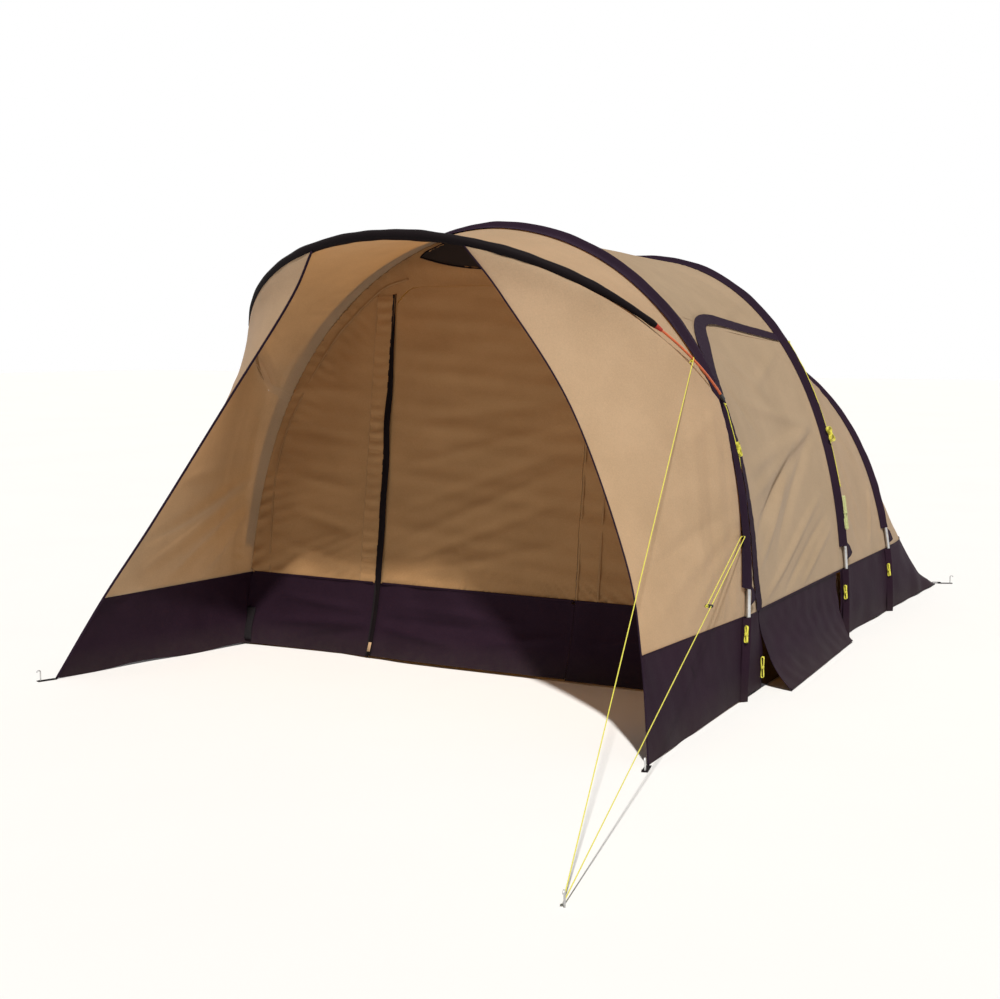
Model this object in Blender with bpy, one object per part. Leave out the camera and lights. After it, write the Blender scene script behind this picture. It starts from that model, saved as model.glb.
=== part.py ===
"""Tunnel tent with a hooped porch, modelled piece by piece.

Metres, +Z up. The origin lies on the ground at the middle of the floor. The porch faces -Y, and the tent
is the same on both sides of the plane X = 0, apart from the guy lines and line hanks on the +X side.
Each fabric panel is a thin closed shell between two seams that it shares with its neighbours.
"""

import math
from collections import namedtuple

import bmesh
import bpy
from mathutils import Matrix, Vector

# Lengths along the tent
BAY_ONE_LENGTH = 1.80
BAY_TWO_LENGTH = 0.98
TAIL_LENGTH = 1.27
PORCH_REACH = 1.24

# Pole arches: half width at the ground and height; squareness of the legs and of the roof; backward lean
FRONT_HALF_WIDTH, FRONT_HEIGHT, FRONT_LEGS, FRONT_ROOF = 1.45, 2.19, 2.8, 1.85
FRONT_LEAN = math.radians(7)
MIDDLE_HALF_WIDTH, MIDDLE_HEIGHT, MIDDLE_LEGS, MIDDLE_ROOF = 1.305, 2.09, 2.3, 2.3
REAR_HALF_WIDTH, REAR_HEIGHT, REAR_POWER = 1.24, 1.62, 2.2
TAIL_HALF_WIDTH = 1.18
TAIL_FALL = 1.27
TAIL_CROWN = 0.15

# Levels at which the panels are seamed
MUD_WALL_HEIGHT = 0.375
SLEEVE_FOOT_HEIGHT = 0.50
PIVOT_HEIGHT = 1.29
LOW_ARCH_PIVOT = 0.62
FRONT_DOOR_LEVEL, REAR_DOOR_LEVEL, TAIL_DOOR_LEVEL = 1.765, 1.61, 1.20

# Porch hoop: how far it reaches from its pivots, and how steeply it rises
HOOP_REACH = 1.20
HOOP_RISE = math.radians(41.4)
HOOP_PIVOT_OUT = 0.035
HOOP_ROD_START = math.radians(4.8)
HOOP_SLEEVE_START = math.radians(29.5)
HOOP_CLEAR = 0.008
CANOPY_START = math.radians(11)
CANOPY_TURNED = math.radians(48)
PIVOT_CLEAR = 0.012
HEM_STEP = 0.006
WING_TOP_ANGLE = math.radians(71.4)

# Free front edge of a porch wing: half width, distance ahead of the front arch's feet, height
WING_EDGE = [
    (0.584, 0.664, 1.798),
    (0.935, 0.695, 1.334),
    (1.280, 0.868, 0.735),
    (1.443, 1.045, MUD_WALL_HEIGHT),
]
FRONT_CORNER_HALF_WIDTH = 1.572

# Poles, sleeves and fabric
POLE_RADIUS = 0.0100
HOOP_RADIUS = 0.0055
SLEEVE_HALF_WIDTH = 0.056
FRONT_SLEEVE_AHEAD, FRONT_SLEEVE_BEHIND, FRONT_SLEEVE_BROADER = 0.064, 0.090, 0.034
SLEEVE_BASE = 0.014
POCKET_SHARE = 0.62
HOOP_SLEEVE_RADIUS = 0.023
POLE_PLAY = 0.0011
ROD_PLAY = 0.0008
HOOP_SLEEVE_PLAY = 0.0016
SLEEVE_WALL = 0.0035
SLEEVE_LIP = 0.0020
LIP_LIFT = 0.0020
TAIL_LIP_SLOPE = 0.8
SKIN_DROP = 0.0150
FABRIC = 0.0030
NEAR_SEAM = 0.070
JAMB_SEAM = 0.096
BAY_TWO_MIDDLE = (0.36, 0.64)
CANOPY_FOOT = 0.035
SAG_BAY_ONE, SAG_BAY_TWO, SAG_CANOPY, SAG_WING = 0.035, 0.018, 0.030, 0.020
SAG_RISE = 0.5
SAG_AT_CROWN = 0.2

# Doors
DOOR_ZIP_X, DOOR_HINGE_X = -0.590, 0.560
DOOR_TOP = 1.890
DOOR_CORNER = 0.140
DOOR_PLAY, SIDE_DOOR_PLAY = 0.0015, 0.0008
SIDE_DOOR_FRONT = {0.0: 0.31, 0.14: 0.304, MUD_WALL_HEIGHT: 0.20, 0.58: 0.145, 1.0: 0.125, 1.33: 0.106,
                   1.5: 0.106, 1.62: 0.125, 1.70: 0.15, FRONT_DOOR_LEVEL: 0.19}
SIDE_DOOR_HINGE = 0.063
SIDE_FLAP_FRONT_OUT, SIDE_FLAP_REAR_OUT = 0.150, 0.095
SIDE_FLAP_REAR_INSET = 0.070
SIDE_FLAP_CURL = 3.0
HINGE_OUTSIDE = 0.012
GROUND_PLAY = 0.006
STRIP_PLAY = 0.0005
VENT_HALF_WIDTH, VENT_DEPTH, VENT_TIP_DEPTH, VENT_RIM = 0.446, 0.213, 0.145, 0.022

# Floor and inner tent
FLOOR_FRONT, TAIL_FLOOR_PLAY = 0.020, 0.004
INNER_START, INNER_DEPTH = 0.09, 1.62
INNER_GAP = 0.075
INNER_DOOR_SCALE, INNER_BACK_SCALE = 0.66, 0.45
INNER_BACK_BULGE = 0.04
INNER_ARCS = (0.3, 0.55, 0.8)

# Zip covers over the side doors' edges: reach to each side of the edge, thickness, height above the skin
ZIP_COVER_HALF, ZIP_COVER_NARROW = 0.040, 0.008
ZIP_COVER_FROM_ARCH = 0.0945
ZIP_COVER_THICK, ZIP_COVER_LIFT = 0.0020, 0.0022
ZIP_COVER_ABOVE, ZIP_COVER_BELOW = 0.22, 0.07

# Hoop eyes
EYE_DEPTH, EYE_WALL, EYE_FLOOR = 0.030, 0.0028, 0.008
EYE_NECK, EYE_TAB_HEIGHT = 0.018, 1.345
EYE_TAB_WIDTH, EYE_TAB_THICK, EYE_TAB_BEHIND = 0.025, 0.005, 0.046
EYE_OVER_RIDGE, EYE_OVER_LIP = 0.0014, 0.0070
EYE_TAPER = (0.6, 0.6)
EYE_TAB_SQUARE, EYE_NECK_SQUARE = 1.35, 1.2

# Corner straps and pegs
STRAP_LENGTH, STRAP_WIDTH, STRAP_THICK = 0.095, 0.025, 0.0026
STRAP_EYELET = 0.015
PEG_RADIUS, PEG_HEIGHT, PEG_HOOK = 0.0035, 0.052, 0.009
PEG_PLAY = 0.0009

# Front door's zip slider
SLIDER_WIDTH, SLIDER_HEIGHT, SLIDER_THICK = 0.012, 0.022, 0.0045
PULL_WIDTH, PULL_LENGTH = 0.006, 0.032
SLIDER_START = 0.12

# Guy lines and hanks, all on the +X side
ROPE = 0.0040
ROPE_PLAY = 0.0007
GUY_PEG_X, GUY_PEG_AHEAD = 2.05, 2.78
UPPER_GUY_HEIGHT = 1.52
UPPER_GUY_END, LOWER_GUY_END = 0.034, 0.020
GUY_HOOK_TURN = math.radians(205)
GUY_TAB_HEIGHT, GUY_TAB_ABOVE, GUY_TAB_BELOW, GUY_TAB_REACH = 0.712, 0.110, 0.045, 0.036
GUY_TAB_THICK, GUY_TAB_TURN, GUY_EYE = 0.0026, math.radians(12), 0.0048
RUNNER_PLACE = 0.27
RUNNER_LENGTH, RUNNER_WIDTH, RUNNER_THICK = 0.036, 0.013, 0.007
STRAND_SPACING = 0.018
TAB_EYE_RISE, TAB_EYE_INSET = 0.002, 2.2
HANK_THICK = 0.016
FRONT_HANK_HEIGHT, FRONT_HANK_SIZE, FRONT_HANK_BEHIND = 1.12, (0.075, 0.046), 0.050
FRONT_HANK_LINE, FRONT_HANK_LINE_BEHIND = (1.325, 1.035), 0.046
MIDDLE_HANK_HEIGHT, MIDDLE_HANK_SIZE, MIDDLE_HANK_LINE = 1.10, (0.092, 0.070), (1.60, 0.79)
LONG_HANK_HEIGHT, LONG_HANK_SIZE = 0.68, (0.190, 0.022)
FOOT_HANK_HEIGHTS, FOOT_HANK_SIZE, FOOT_HANK_AHEAD = (0.30, 0.25, 0.25), (0.080, 0.016), 0.024
DOOR_HANK_SIZE, DOOR_HANK_BACK, DOOR_HANK_UP = (0.105, 0.018), 0.86, 0.55

GAP = 0.0004
SIDES_OF_POLE = 12

FRONT_Y = -(BAY_ONE_LENGTH + BAY_TWO_LENGTH + TAIL_LENGTH) / 2
MIDDLE_Y = FRONT_Y + BAY_ONE_LENGTH
REAR_Y = MIDDLE_Y + BAY_TWO_LENGTH
TAIL_Y = REAR_Y + TAIL_LENGTH

Arch = namedtuple("Arch", "half_width height legs roof foot_y lean level")
FRONT = Arch(FRONT_HALF_WIDTH, FRONT_HEIGHT, FRONT_LEGS, FRONT_ROOF, FRONT_Y, FRONT_LEAN, FRONT_DOOR_LEVEL)
MIDDLE = Arch(MIDDLE_HALF_WIDTH, MIDDLE_HEIGHT, MIDDLE_LEGS, MIDDLE_ROOF, MIDDLE_Y, 0.0, REAR_DOOR_LEVEL)
REAR = Arch(REAR_HALF_WIDTH, REAR_HEIGHT, REAR_POWER, REAR_POWER, REAR_Y, 0.0, TAIL_DOOR_LEVEL)

# Rows of a half arch, counted from the ground: mud wall, sleeve foot, leg, shoulder, roof
MUD_ROWS, FOOT_ROWS, LEG_ROWS, SHOULDER_ROWS, ROOF_ROWS = 2, 1, 4, 2, 6
SEAM_ROW = MUD_ROWS
SLEEVE_ROW = SEAM_ROW + FOOT_ROWS
PIVOT_ROW = SLEEVE_ROW + LEG_ROWS
LEVEL_ROW = PIVOT_ROW + SHOULDER_ROWS
CROWN_ROW = LEVEL_ROW + ROOF_ROWS
LAST_ROW = 2 * CROWN_ROW

COLOURS = {
    "cotton": ((0.55, 0.42, 0.27), 0.85, 0.0),
    "mud_cloth": ((0.032, 0.017, 0.027), 0.60, 0.0),
    "sleeve_cloth": ((0.045, 0.025, 0.045), 0.70, 0.0),
    "hoop_sleeve_cloth": ((0.010, 0.008, 0.009), 0.60, 0.0),
    "steel": ((0.42, 0.42, 0.43), 0.35, 1.0),
    "rod": ((0.60, 0.12, 0.03), 0.45, 0.0),
    "mesh": ((0.015, 0.012, 0.012), 0.80, 0.0),
    "floor_cloth": ((0.05, 0.05, 0.06), 0.55, 0.0),
    "inner_cloth": ((0.62, 0.56, 0.45), 0.90, 0.0),
    "black_plastic": ((0.012, 0.012, 0.013), 0.45, 0.0),
    "rope": ((0.65, 0.58, 0.10), 0.75, 0.0),
    "webbing": ((0.02, 0.018, 0.02), 0.80, 0.0),
}


def material(name):
    """The material of that name, made once."""
    found = bpy.data.materials.get(name)
    if found:
        return found
    colour, roughness, metallic = COLOURS[name]
    made = bpy.data.materials.new(name)
    made.use_nodes = True
    shader = made.node_tree.nodes["Principled BSDF"]
    shader.inputs["Base Color"].default_value = (*colour, 1.0)
    shader.inputs["Roughness"].default_value = roughness
    shader.inputs["Metallic"].default_value = metallic
    made.diffuse_color = (*colour, 1.0)
    return made


def finished(name, mesh_maker, finish, pivot=None):
    """A named object from a bmesh: doubles merged, faces turned outwards, origin at its pivot."""
    bmesh.ops.remove_doubles(mesh_maker, verts=mesh_maker.verts, dist=1e-6)
    bmesh.ops.dissolve_degenerate(mesh_maker, edges=mesh_maker.edges, dist=1e-7)
    bmesh.ops.recalc_face_normals(mesh_maker, faces=mesh_maker.faces)
    if mesh_maker.calc_volume(signed=True) < 0:
        bmesh.ops.reverse_faces(mesh_maker, faces=mesh_maker.faces)
    origin = Vector(pivot) if pivot else Vector()
    bmesh.ops.translate(mesh_maker, verts=mesh_maker.verts, vec=-origin)
    mesh = bpy.data.meshes.new(name)
    mesh_maker.to_mesh(mesh)
    mesh_maker.free()
    mesh.shade_smooth()
    mesh.set_sharp_from_angle(angle=math.radians(35))
    mesh.materials.append(material(finish))
    made = bpy.data.objects.new(name, mesh)
    made.location = origin
    bpy.context.collection.objects.link(made)
    return made


def split_cell(grid, ring):
    """A grid's cell as two triangles, cut along its shorter diagonal, so that both faces of a panel bend alike."""
    a, b, c, d = (grid[i][j] for i, j in ring)
    if (a - c).length <= (b - d).length:
        return [ring[:3], [ring[0], ring[2], ring[3]]]
    return [ring[1:], [ring[0], ring[1], ring[3]]]


def shell(name, outer, inner, finish, keep=None, pivot=None):
    """A closed thin panel between two grids of points; keep(row, column) says which cells it has."""
    maker = bmesh.new()
    rows, columns = len(outer), len(outer[0])
    out = [[maker.verts.new(point) for point in line] for line in outer]
    back = [[maker.verts.new(point) for point in line] for line in inner]

    def here(i, j):
        inside = 0 <= i < rows - 1 and 0 <= j < columns - 1
        return inside and (keep is None or keep(i, j))

    for i in range(rows - 1):
        for j in range(columns - 1):
            if not here(i, j):
                continue
            ring = [(i, j), (i + 1, j), (i + 1, j + 1), (i, j + 1)]
            for part in split_cell(outer, ring):
                maker.faces.new([out[a][b] for a, b in part])
                maker.faces.new([back[a][b] for a, b in reversed(part)])
            beside = [(i, j - 1), (i + 1, j), (i, j + 1), (i - 1, j)]
            for k, (a, b) in enumerate(beside):
                if here(a, b):
                    continue
                (p, q), (r, s) = ring[k], ring[(k + 1) % 4]
                maker.faces.new([out[r][s], out[p][q], back[p][q], back[r][s]])
    loose = [vertex for vertex in maker.verts if not vertex.link_faces]
    bmesh.ops.delete(maker, geom=loose, context="VERTS")
    return finished(name, maker, finish, pivot)


def loft(name, rings, finish, bores=None, pivot=None):
    """A solid swept through closed rings, with flat ends, or hollow when bores gives the inner rings."""
    maker = bmesh.new()

    def skin(loops):
        made = [[maker.verts.new(point) for point in loop] for loop in loops]
        count = len(made[0])
        for low, high in zip(made, made[1:]):
            for k in range(count):
                maker.faces.new([low[k], low[(k + 1) % count], high[(k + 1) % count], high[k]])
        return made

    outside = skin(rings)
    if bores:
        inside = skin(bores)
        count = len(rings[0])
        for end in (0, -1):
            for k in range(count):
                m = (k + 1) % count
                maker.faces.new([outside[end][k], outside[end][m], inside[end][m], inside[end][k]])
    else:
        maker.faces.new(outside[0])
        maker.faces.new(outside[-1])
    return finished(name, maker, finish, pivot)


def plate(name, outline, thickness, place, finish, holes=(), pivot=None):
    """A flat sheet cut to an outline in its own plane, centred on that plane, then placed."""
    maker = bmesh.new()
    edges = []
    for loop in (outline, *holes):
        corners = [maker.verts.new((x, y, -thickness / 2)) for x, y in loop]
        edges += [maker.edges.new((a, b)) for a, b in zip(corners, corners[1:] + corners[:1])]
    filled = bmesh.ops.triangle_fill(maker, use_beauty=True, edges=edges)["geom"]
    faces = [item for item in filled if isinstance(item, bmesh.types.BMFace)]
    raised = bmesh.ops.extrude_face_region(maker, geom=faces, use_keep_orig=True)["geom"]
    top = [item for item in raised if isinstance(item, bmesh.types.BMVert)]
    bmesh.ops.translate(maker, verts=top, vec=(0, 0, thickness))
    bmesh.ops.transform(maker, matrix=place, verts=maker.verts)
    return finished(name, maker, finish, pivot)


def smooth_curve(points, steps):
    """Points on a smooth curve through the given ones, equally many on each span."""
    path = [Vector(point) for point in points]
    ends = [2 * path[0] - path[1]] + path + [2 * path[-1] - path[-2]]
    found = []
    for a, b, c, d in zip(ends, ends[1:], ends[2:], ends[3:]):
        for k in range(steps):
            t = k / steps
            found.append(0.5 * (2 * b + (c - a) * t + (2 * a - 5 * b + 4 * c - d) * t * t
                                + (3 * b - a - 3 * c + d) * t ** 3))
    return found + [path[-1]]


def at_share(line, share):
    """The point a given share of the way along a line of points."""
    lengths = [(b - a).length for a, b in zip(line, line[1:])]
    left = share * sum(lengths)
    for start, end, length in zip(line, line[1:], lengths):
        if left <= length and length > 0:
            return start.lerp(end, left / length)
        left -= length
    return line[-1].copy()


def cord(name, route, radius=ROPE / 2, resolution=2):
    """A rope as a tube with filled ends along a smooth route."""
    data = bpy.data.curves.new(name, "CURVE")
    data.dimensions = "3D"
    data.bevel_depth = radius
    data.bevel_resolution = resolution
    data.use_fill_caps = True
    spline = data.splines.new("POLY")
    spline.points.add(len(route) - 1)
    for target, point in zip(spline.points, route):
        target.co = (*point, 1.0)
    data.materials.append(material("rope"))
    made = bpy.data.objects.new(name, data)
    bpy.context.collection.objects.link(made)
    return made


def angle_at(arch, height):
    """The arch's angle, from its right foot, at a height."""
    return math.asin(min(1.0, height / arch.height) ** (arch.legs / 2))


def arch_rows(arch):
    """The angles of all rows of an arch, from its right foot over the crown to its left foot."""
    marks = [
        (0.0, MUD_ROWS), (MUD_WALL_HEIGHT, FOOT_ROWS), (SLEEVE_FOOT_HEIGHT, LEG_ROWS),
        (min(PIVOT_HEIGHT, LOW_ARCH_PIVOT * arch.height), SHOULDER_ROWS),
    ]
    half = []
    heights = [mark[0] for mark in marks] + [arch.level]
    for k, (low, steps) in enumerate(marks):
        half += [angle_at(arch, low + (heights[k + 1] - low) * n / steps) for n in range(steps)]
    level = angle_at(arch, arch.level)
    half += [level + (math.pi / 2 - level) * n / ROOF_ROWS for n in range(ROOF_ROWS)]
    return half + [math.pi / 2] + [math.pi - angle for angle in reversed(half)]


def arch_point(arch, angle, inset=0.0):
    """A point on the arch's curve, or on one parallel to it inside."""
    c, s = math.cos(angle), max(0.0, math.sin(angle))
    x = math.copysign(abs(c) ** (2 / arch.roof), c) * arch.half_width
    z = s ** (2 / arch.legs) * arch.height
    slope_x = arch.roof * math.copysign(abs(x / arch.half_width) ** (arch.roof - 1), x) / arch.half_width
    slope_z = arch.legs * (z / arch.height) ** (arch.legs - 1) / arch.height
    size = math.hypot(slope_x, slope_z)
    x, z = x - inset * slope_x / size, z - inset * slope_z / size
    return Vector((x, arch.foot_y + z * math.tan(arch.lean), z))


def arch_line(arch, inset):
    return [arch_point(arch, angle, inset) for angle in arch_rows(arch)]


def hoop_point(angle):
    """A point on the porch hoop, a half ellipse that rises forwards from its two pivots."""
    pivot = arch_point(FRONT, angle_at(FRONT, PIVOT_HEIGHT))
    half = pivot.x + HOOP_PIVOT_OUT
    ahead = HOOP_REACH * math.sin(angle) * math.cos(HOOP_RISE)
    up = HOOP_REACH * math.sin(angle) * math.sin(HOOP_RISE)
    return Vector((half * math.cos(angle), pivot.y - ahead, pivot.z + up))


HOOP_NORMAL = Vector((0, -math.sin(HOOP_RISE), -math.cos(HOOP_RISE)))


def frames(line, side):
    """For each point of a line: the point, the outward direction, and the direction across the line."""
    found = []
    for k, point in enumerate(line):
        before, after = line[max(0, k - 1)], line[min(len(line) - 1, k + 1)]
        along = (after - before).normalized()
        across = (side - along * side.dot(along)).normalized()
        found.append((point, across.cross(along).normalized(), across))
    return found


def ring(frame, radius, count=SIDES_OF_POLE):
    """A circle of points round a frame, starting on its inner side."""
    point, out, across = frame
    turn = [2 * math.pi * k / count for k in range(count)]
    return [point - out * radius * math.cos(a) + across * radius * math.sin(a) for a in turn]


def arch_frames(arch):
    """Frames along an arch, from its right foot; across points forwards."""
    plane = Vector((0, -math.cos(arch.lean), math.sin(arch.lean)))
    line = [arch_point(arch, angle) for angle in arch_rows(arch)]
    found = frames(line, plane)
    middle = Vector((0, 0, arch.height / 2))
    fixed = []
    for point, out, across in found:
        away = Vector((point.x, 0, point.z - middle.z))
        fixed.append((point, out if out.dot(away) > 0 else -out, across))
    return fixed


def moved(point, along_y):
    return point + Vector((0, along_y, 0))


def bay_grid(front, rear, sag, stations, inset, rows):
    """Points of the skin between two arches; stations(row) gives the shares of the way back."""
    lines = [arch_line(front, inset), arch_line(rear, inset)]
    found = []
    for i in rows:
        a, b = moved(lines[0][i], GAP), moved(lines[1][i], -GAP)
        length = (b - a).length
        near = NEAR_SEAM / length
        middle = (arch_point(front, arch_rows(front)[i], 1.0) - arch_point(front, arch_rows(front)[i]))
        inward = Vector((middle.x, 0, middle.z)).normalized()
        dip = sag * sag_share(front, a.z)
        line = []
        for share in stations(i, near):
            inner = min(1.0, max(0.0, (share - near) / (1 - 2 * near)))
            line.append(a.lerp(b, share) + inward * (4 * dip * inner * (1 - inner)))
        found.append(line)
    return found


def sag_share(arch, height):
    """How much a panel beside an arch sags at a height: nothing at the mud wall, little at the crown."""
    rise = min(1.0, max(0.0, (height - MUD_WALL_HEIGHT) / SAG_RISE))
    roof = min(1.0, max(0.0, (height - PIVOT_HEIGHT) / (arch.height - PIVOT_HEIGHT)))
    return rise * (1 - (1 - SAG_AT_CROWN) * roof)


def both(make):
    """The outer and inner grids of a panel."""
    return make(SKIN_DROP), make(SKIN_DROP + FABRIC)


def tail_section(y):
    """Half width and height of the tail, less the skin's drop, at a place along the tent."""
    share = min(1.0, max(0.0, (y - REAR_Y) / TAIL_LENGTH))
    height = REAR_HEIGHT * (1 - share) ** TAIL_FALL * (1 + TAIL_CROWN * math.sin(math.pi * share))
    return REAR_HALF_WIDTH + (TAIL_HALF_WIDTH - REAR_HALF_WIDTH) * share, height


def tail_point(turn, height, inset):
    """Where a level line of the tail crosses the upright plane that stands at that turn from +X."""
    def inside(reach):
        x, y = reach * math.cos(turn), REAR_Y + reach * math.sin(turn)
        if y >= TAIL_Y - inset:
            return False
        half, top = tail_section(y)
        half, top = half - inset, max(1e-4, top - inset)
        return abs(x / half) ** REAR_POWER + (height / top) ** REAR_POWER < 1

    low, high = 0.0, 2 * (REAR_HALF_WIDTH + TAIL_LENGTH)
    for _ in range(40):
        middle = (low + high) / 2
        low, high = (middle, high) if inside(middle) else (low, middle)
    return Vector((low * math.cos(turn), REAR_Y + low * math.sin(turn), height))


def tail_turns():
    """Turns of the tail's ribs, with one through each rear corner."""
    corner = math.atan2(TAIL_LENGTH - SKIN_DROP, TAIL_HALF_WIDTH - SKIN_DROP)
    first = [corner * k / 4 for k in range(4)]
    back = [corner + (math.pi - 2 * corner) * k / 6 for k in range(7)]
    return first + back + [math.pi - turn for turn in reversed(first)]


def tail_line(height, inset):
    """A level line round the tail, its two ends on the rear arch's skin."""
    turns = tail_turns()
    line = [tail_point(turn, height, inset) for turn in turns]
    line[0].y = line[-1].y = REAR_Y + GAP
    return line


def door_station(height):
    """How far behind the front arch a side door's free edge runs, at a height."""
    marks = sorted(SIDE_DOOR_FRONT)
    height = min(max(height, marks[0]), marks[-1])
    for low, high in zip(marks, marks[1:]):
        if height <= high:
            share = (height - low) / (high - low)
            share = share * share * (3 - 2 * share)
            return SIDE_DOOR_FRONT[low] + (SIDE_DOOR_FRONT[high] - SIDE_DOOR_FRONT[low]) * share
    return SIDE_DOOR_FRONT[marks[-1]]


def bay_one_edges(i):
    """The shares of bay one's length, on one row, at a side door's free edge and hinge edge."""
    a, b = arch_line(FRONT, SKIN_DROP)[i], arch_line(MIDDLE, SKIN_DROP)[i]
    length = (b - a).length
    return door_station(a.z) / length, 1 - SIDE_DOOR_HINGE / length


def bay_one_stations(i, near):
    first, last = bay_one_edges(i)
    between = [first + (last - first) * k / 5 for k in range(6)]
    return [0.0, near * JAMB_SEAM / NEAR_SEAM, *between, 1.0]


def side_hinge():
    """The right side door's axis: a point on the ground and a direction, just outside the hinge edge."""
    def hinge_share(i, near):
        return [bay_one_edges(i)[1]]

    rows = range(SEAM_ROW, LEVEL_ROW + 1)
    edge = [line[0] for line in bay_grid(FRONT, MIDDLE, SAG_BAY_ONE, hinge_share, SKIN_DROP, rows)]
    along = Vector((edge[-1].x - edge[0].x, 0, edge[-1].z - edge[0].z)).normalized()
    out = Vector((along.z, 0, -along.x))
    reach = max(out.dot(point - edge[0]) for point in edge)
    low = edge[0] + out * (reach + HINGE_OUTSIDE)
    return low - along * low.z / along.z, along


def bay_two_stations(i, near):
    return [0.0, near, *BAY_TWO_MIDDLE, 1 - near, 1.0]


def wing_edge():
    """The right wing's free edge, from the ground corner up to the hoop."""
    top = below_hoop(WING_TOP_ANGLE)
    points = [Vector((FRONT_CORNER_HALF_WIDTH, FRONT_Y - PORCH_REACH, 0))]
    points += [Vector((x, FRONT_Y - ahead, z)) for x, ahead, z in reversed(WING_EDGE)]
    return smooth_curve(points + [top], 6)


def turned_back(angle):
    """How far the canopy's rim has moved from under the bare rod, 0, to behind the hoop's sleeve, 1."""
    return min(1.0, max(0.0, (angle - CANOPY_START) / (CANOPY_TURNED - CANOPY_START)))


def rim_drop(angle):
    """How far the canopy's rim keeps from the hoop: little at the pivots, clear of the sleeve above."""
    share = min(1.0, angle / CANOPY_START)
    return PIVOT_CLEAR + (HOOP_SLEEVE_RADIUS + HOOP_CLEAR - PIVOT_CLEAR) * share


def below_hoop(angle):
    """The right wing's top edge: under the canopy's rim beside the bare rod, then just under the sleeve."""
    under_rim, under_sleeve = rim_drop(angle) + HEM_STEP, HOOP_SLEEVE_RADIUS + LIP_LIFT
    return hoop_point(angle) + HOOP_NORMAL * (under_rim + (under_sleeve - under_rim) * turned_back(angle))


def split_at(line, height):
    """A rising line cut in two at a height."""
    for k in range(1, len(line)):
        if line[k].z >= height:
            cut = line[k - 1].lerp(line[k], (height - line[k - 1].z) / (line[k].z - line[k - 1].z))
            return line[:k] + [cut], [cut] + line[k:]
    return line, []


def halved(line):
    """The same line with a point added in the middle of each span."""
    found = [line[0]]
    for a, b in zip(line, line[1:]):
        found += [a.lerp(b, 0.5), b]
    return found


WING_SHARES = [0.0, 0.085, 0.2, 0.36, 0.52, 0.68, 0.84, 1.0]


def wing_grid(inset):
    """The right wing above its mud wall: rows from the seam to the hoop, columns from the arch forwards."""
    leg = halved(arch_line(FRONT, inset)[SEAM_ROW:PIVOT_ROW + 1])
    leg = [moved(point, -GAP) for point in leg]
    edge = split_at(wing_edge(), MUD_WALL_HEIGHT)[1]
    last = len(leg) - 1
    drop = inset - SKIN_DROP
    top = [leg[-1]] + [below_hoop(max(HOOP_ROD_START, WING_TOP_ANGLE * s)) for s in WING_SHARES[1:]]
    grid = []
    for i in range(last + 1):
        v = i / last
        front = at_share(edge, v)
        line = []
        for s, high in zip(WING_SHARES, top):
            low = leg[0].lerp(at_share(edge, 0.0), s)
            level = leg[i].lerp(front, s)
            ends = low.lerp(high, v)
            corner = leg[0].lerp(at_share(edge, 0.0), s).lerp(leg[-1].lerp(top[-1], s), v)
            line.append(level + ends - corner)
        grid.append(line)
    for i, line in enumerate(grid):
        for j in range(1, len(line)):
            across = line[j] - line[j - 1]
            up = grid[min(last, i + 1)][j] - grid[max(0, i - 1)][j]
            inward = across.cross(up)
            if i == 0:
                inward.z = 0.0
            inward = inward.normalized() if inward.x < 0 else -inward.normalized()
            bulge = SAG_WING * math.sin(math.pi * WING_SHARES[j]) * math.sin(math.pi * i / last)
            line[j] = line[j] + inward * (drop + bulge)
    for i in range(1, last, 2):
        grid[i][1] = grid[i - 1][1].lerp(grid[i + 1][1], 0.5)
    return grid


def wing_mud_grid(inset):
    """The right wing's mud wall with the strip behind the arch: rows up, columns from front to back."""
    leg = arch_line(FRONT, inset)[:SEAM_ROW + 1]
    edge = split_at(wing_edge(), MUD_WALL_HEIGHT)[0]
    behind = bay_grid(FRONT, MIDDLE, 0.0, mud_stations, inset, range(SEAM_ROW + 1))
    drop = inset - SKIN_DROP
    grid = []
    for i, foot in enumerate(leg):
        front = at_share(edge, i / SEAM_ROW) + Vector((-drop, 0, 0))
        foot = moved(foot, -GAP)
        line = [foot.lerp(front, s) for s in reversed(WING_SHARES)]
        grid.append(line + behind[i][1:])
    return lowered(grid)


def mud_stations(i, near):
    return [0.0, near * JAMB_SEAM / NEAR_SEAM, bay_one_edges(i)[0]]


def lowered(grid):
    """The same grid with its top row just under the seam."""
    top = [Vector((p.x, p.y, p.z - GAP)) for p in grid[-1]]
    return grid[:-1] + [top]


def raised(grid, ends=False):
    """The same grid with its first row, or both end rows, just above the seam."""
    lift = Vector((0, 0, GAP))
    grid = [[p + lift for p in grid[0]]] + grid[1:]
    if ends:
        grid = grid[:-1] + [[p + lift for p in grid[-1]]]
    return grid


def mirrored(grid):
    return [[Vector((-p.x, p.y, p.z)) for p in line] for line in grid]


def two_sides(name, outer, inner, finish, keep=None):
    """The same panel on the right and, mirrored, on the left."""
    shell(f"{name}_right", outer, inner, finish, keep)
    shell(f"{name}_left", mirrored(outer), mirrored(inner), finish, keep)


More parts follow.
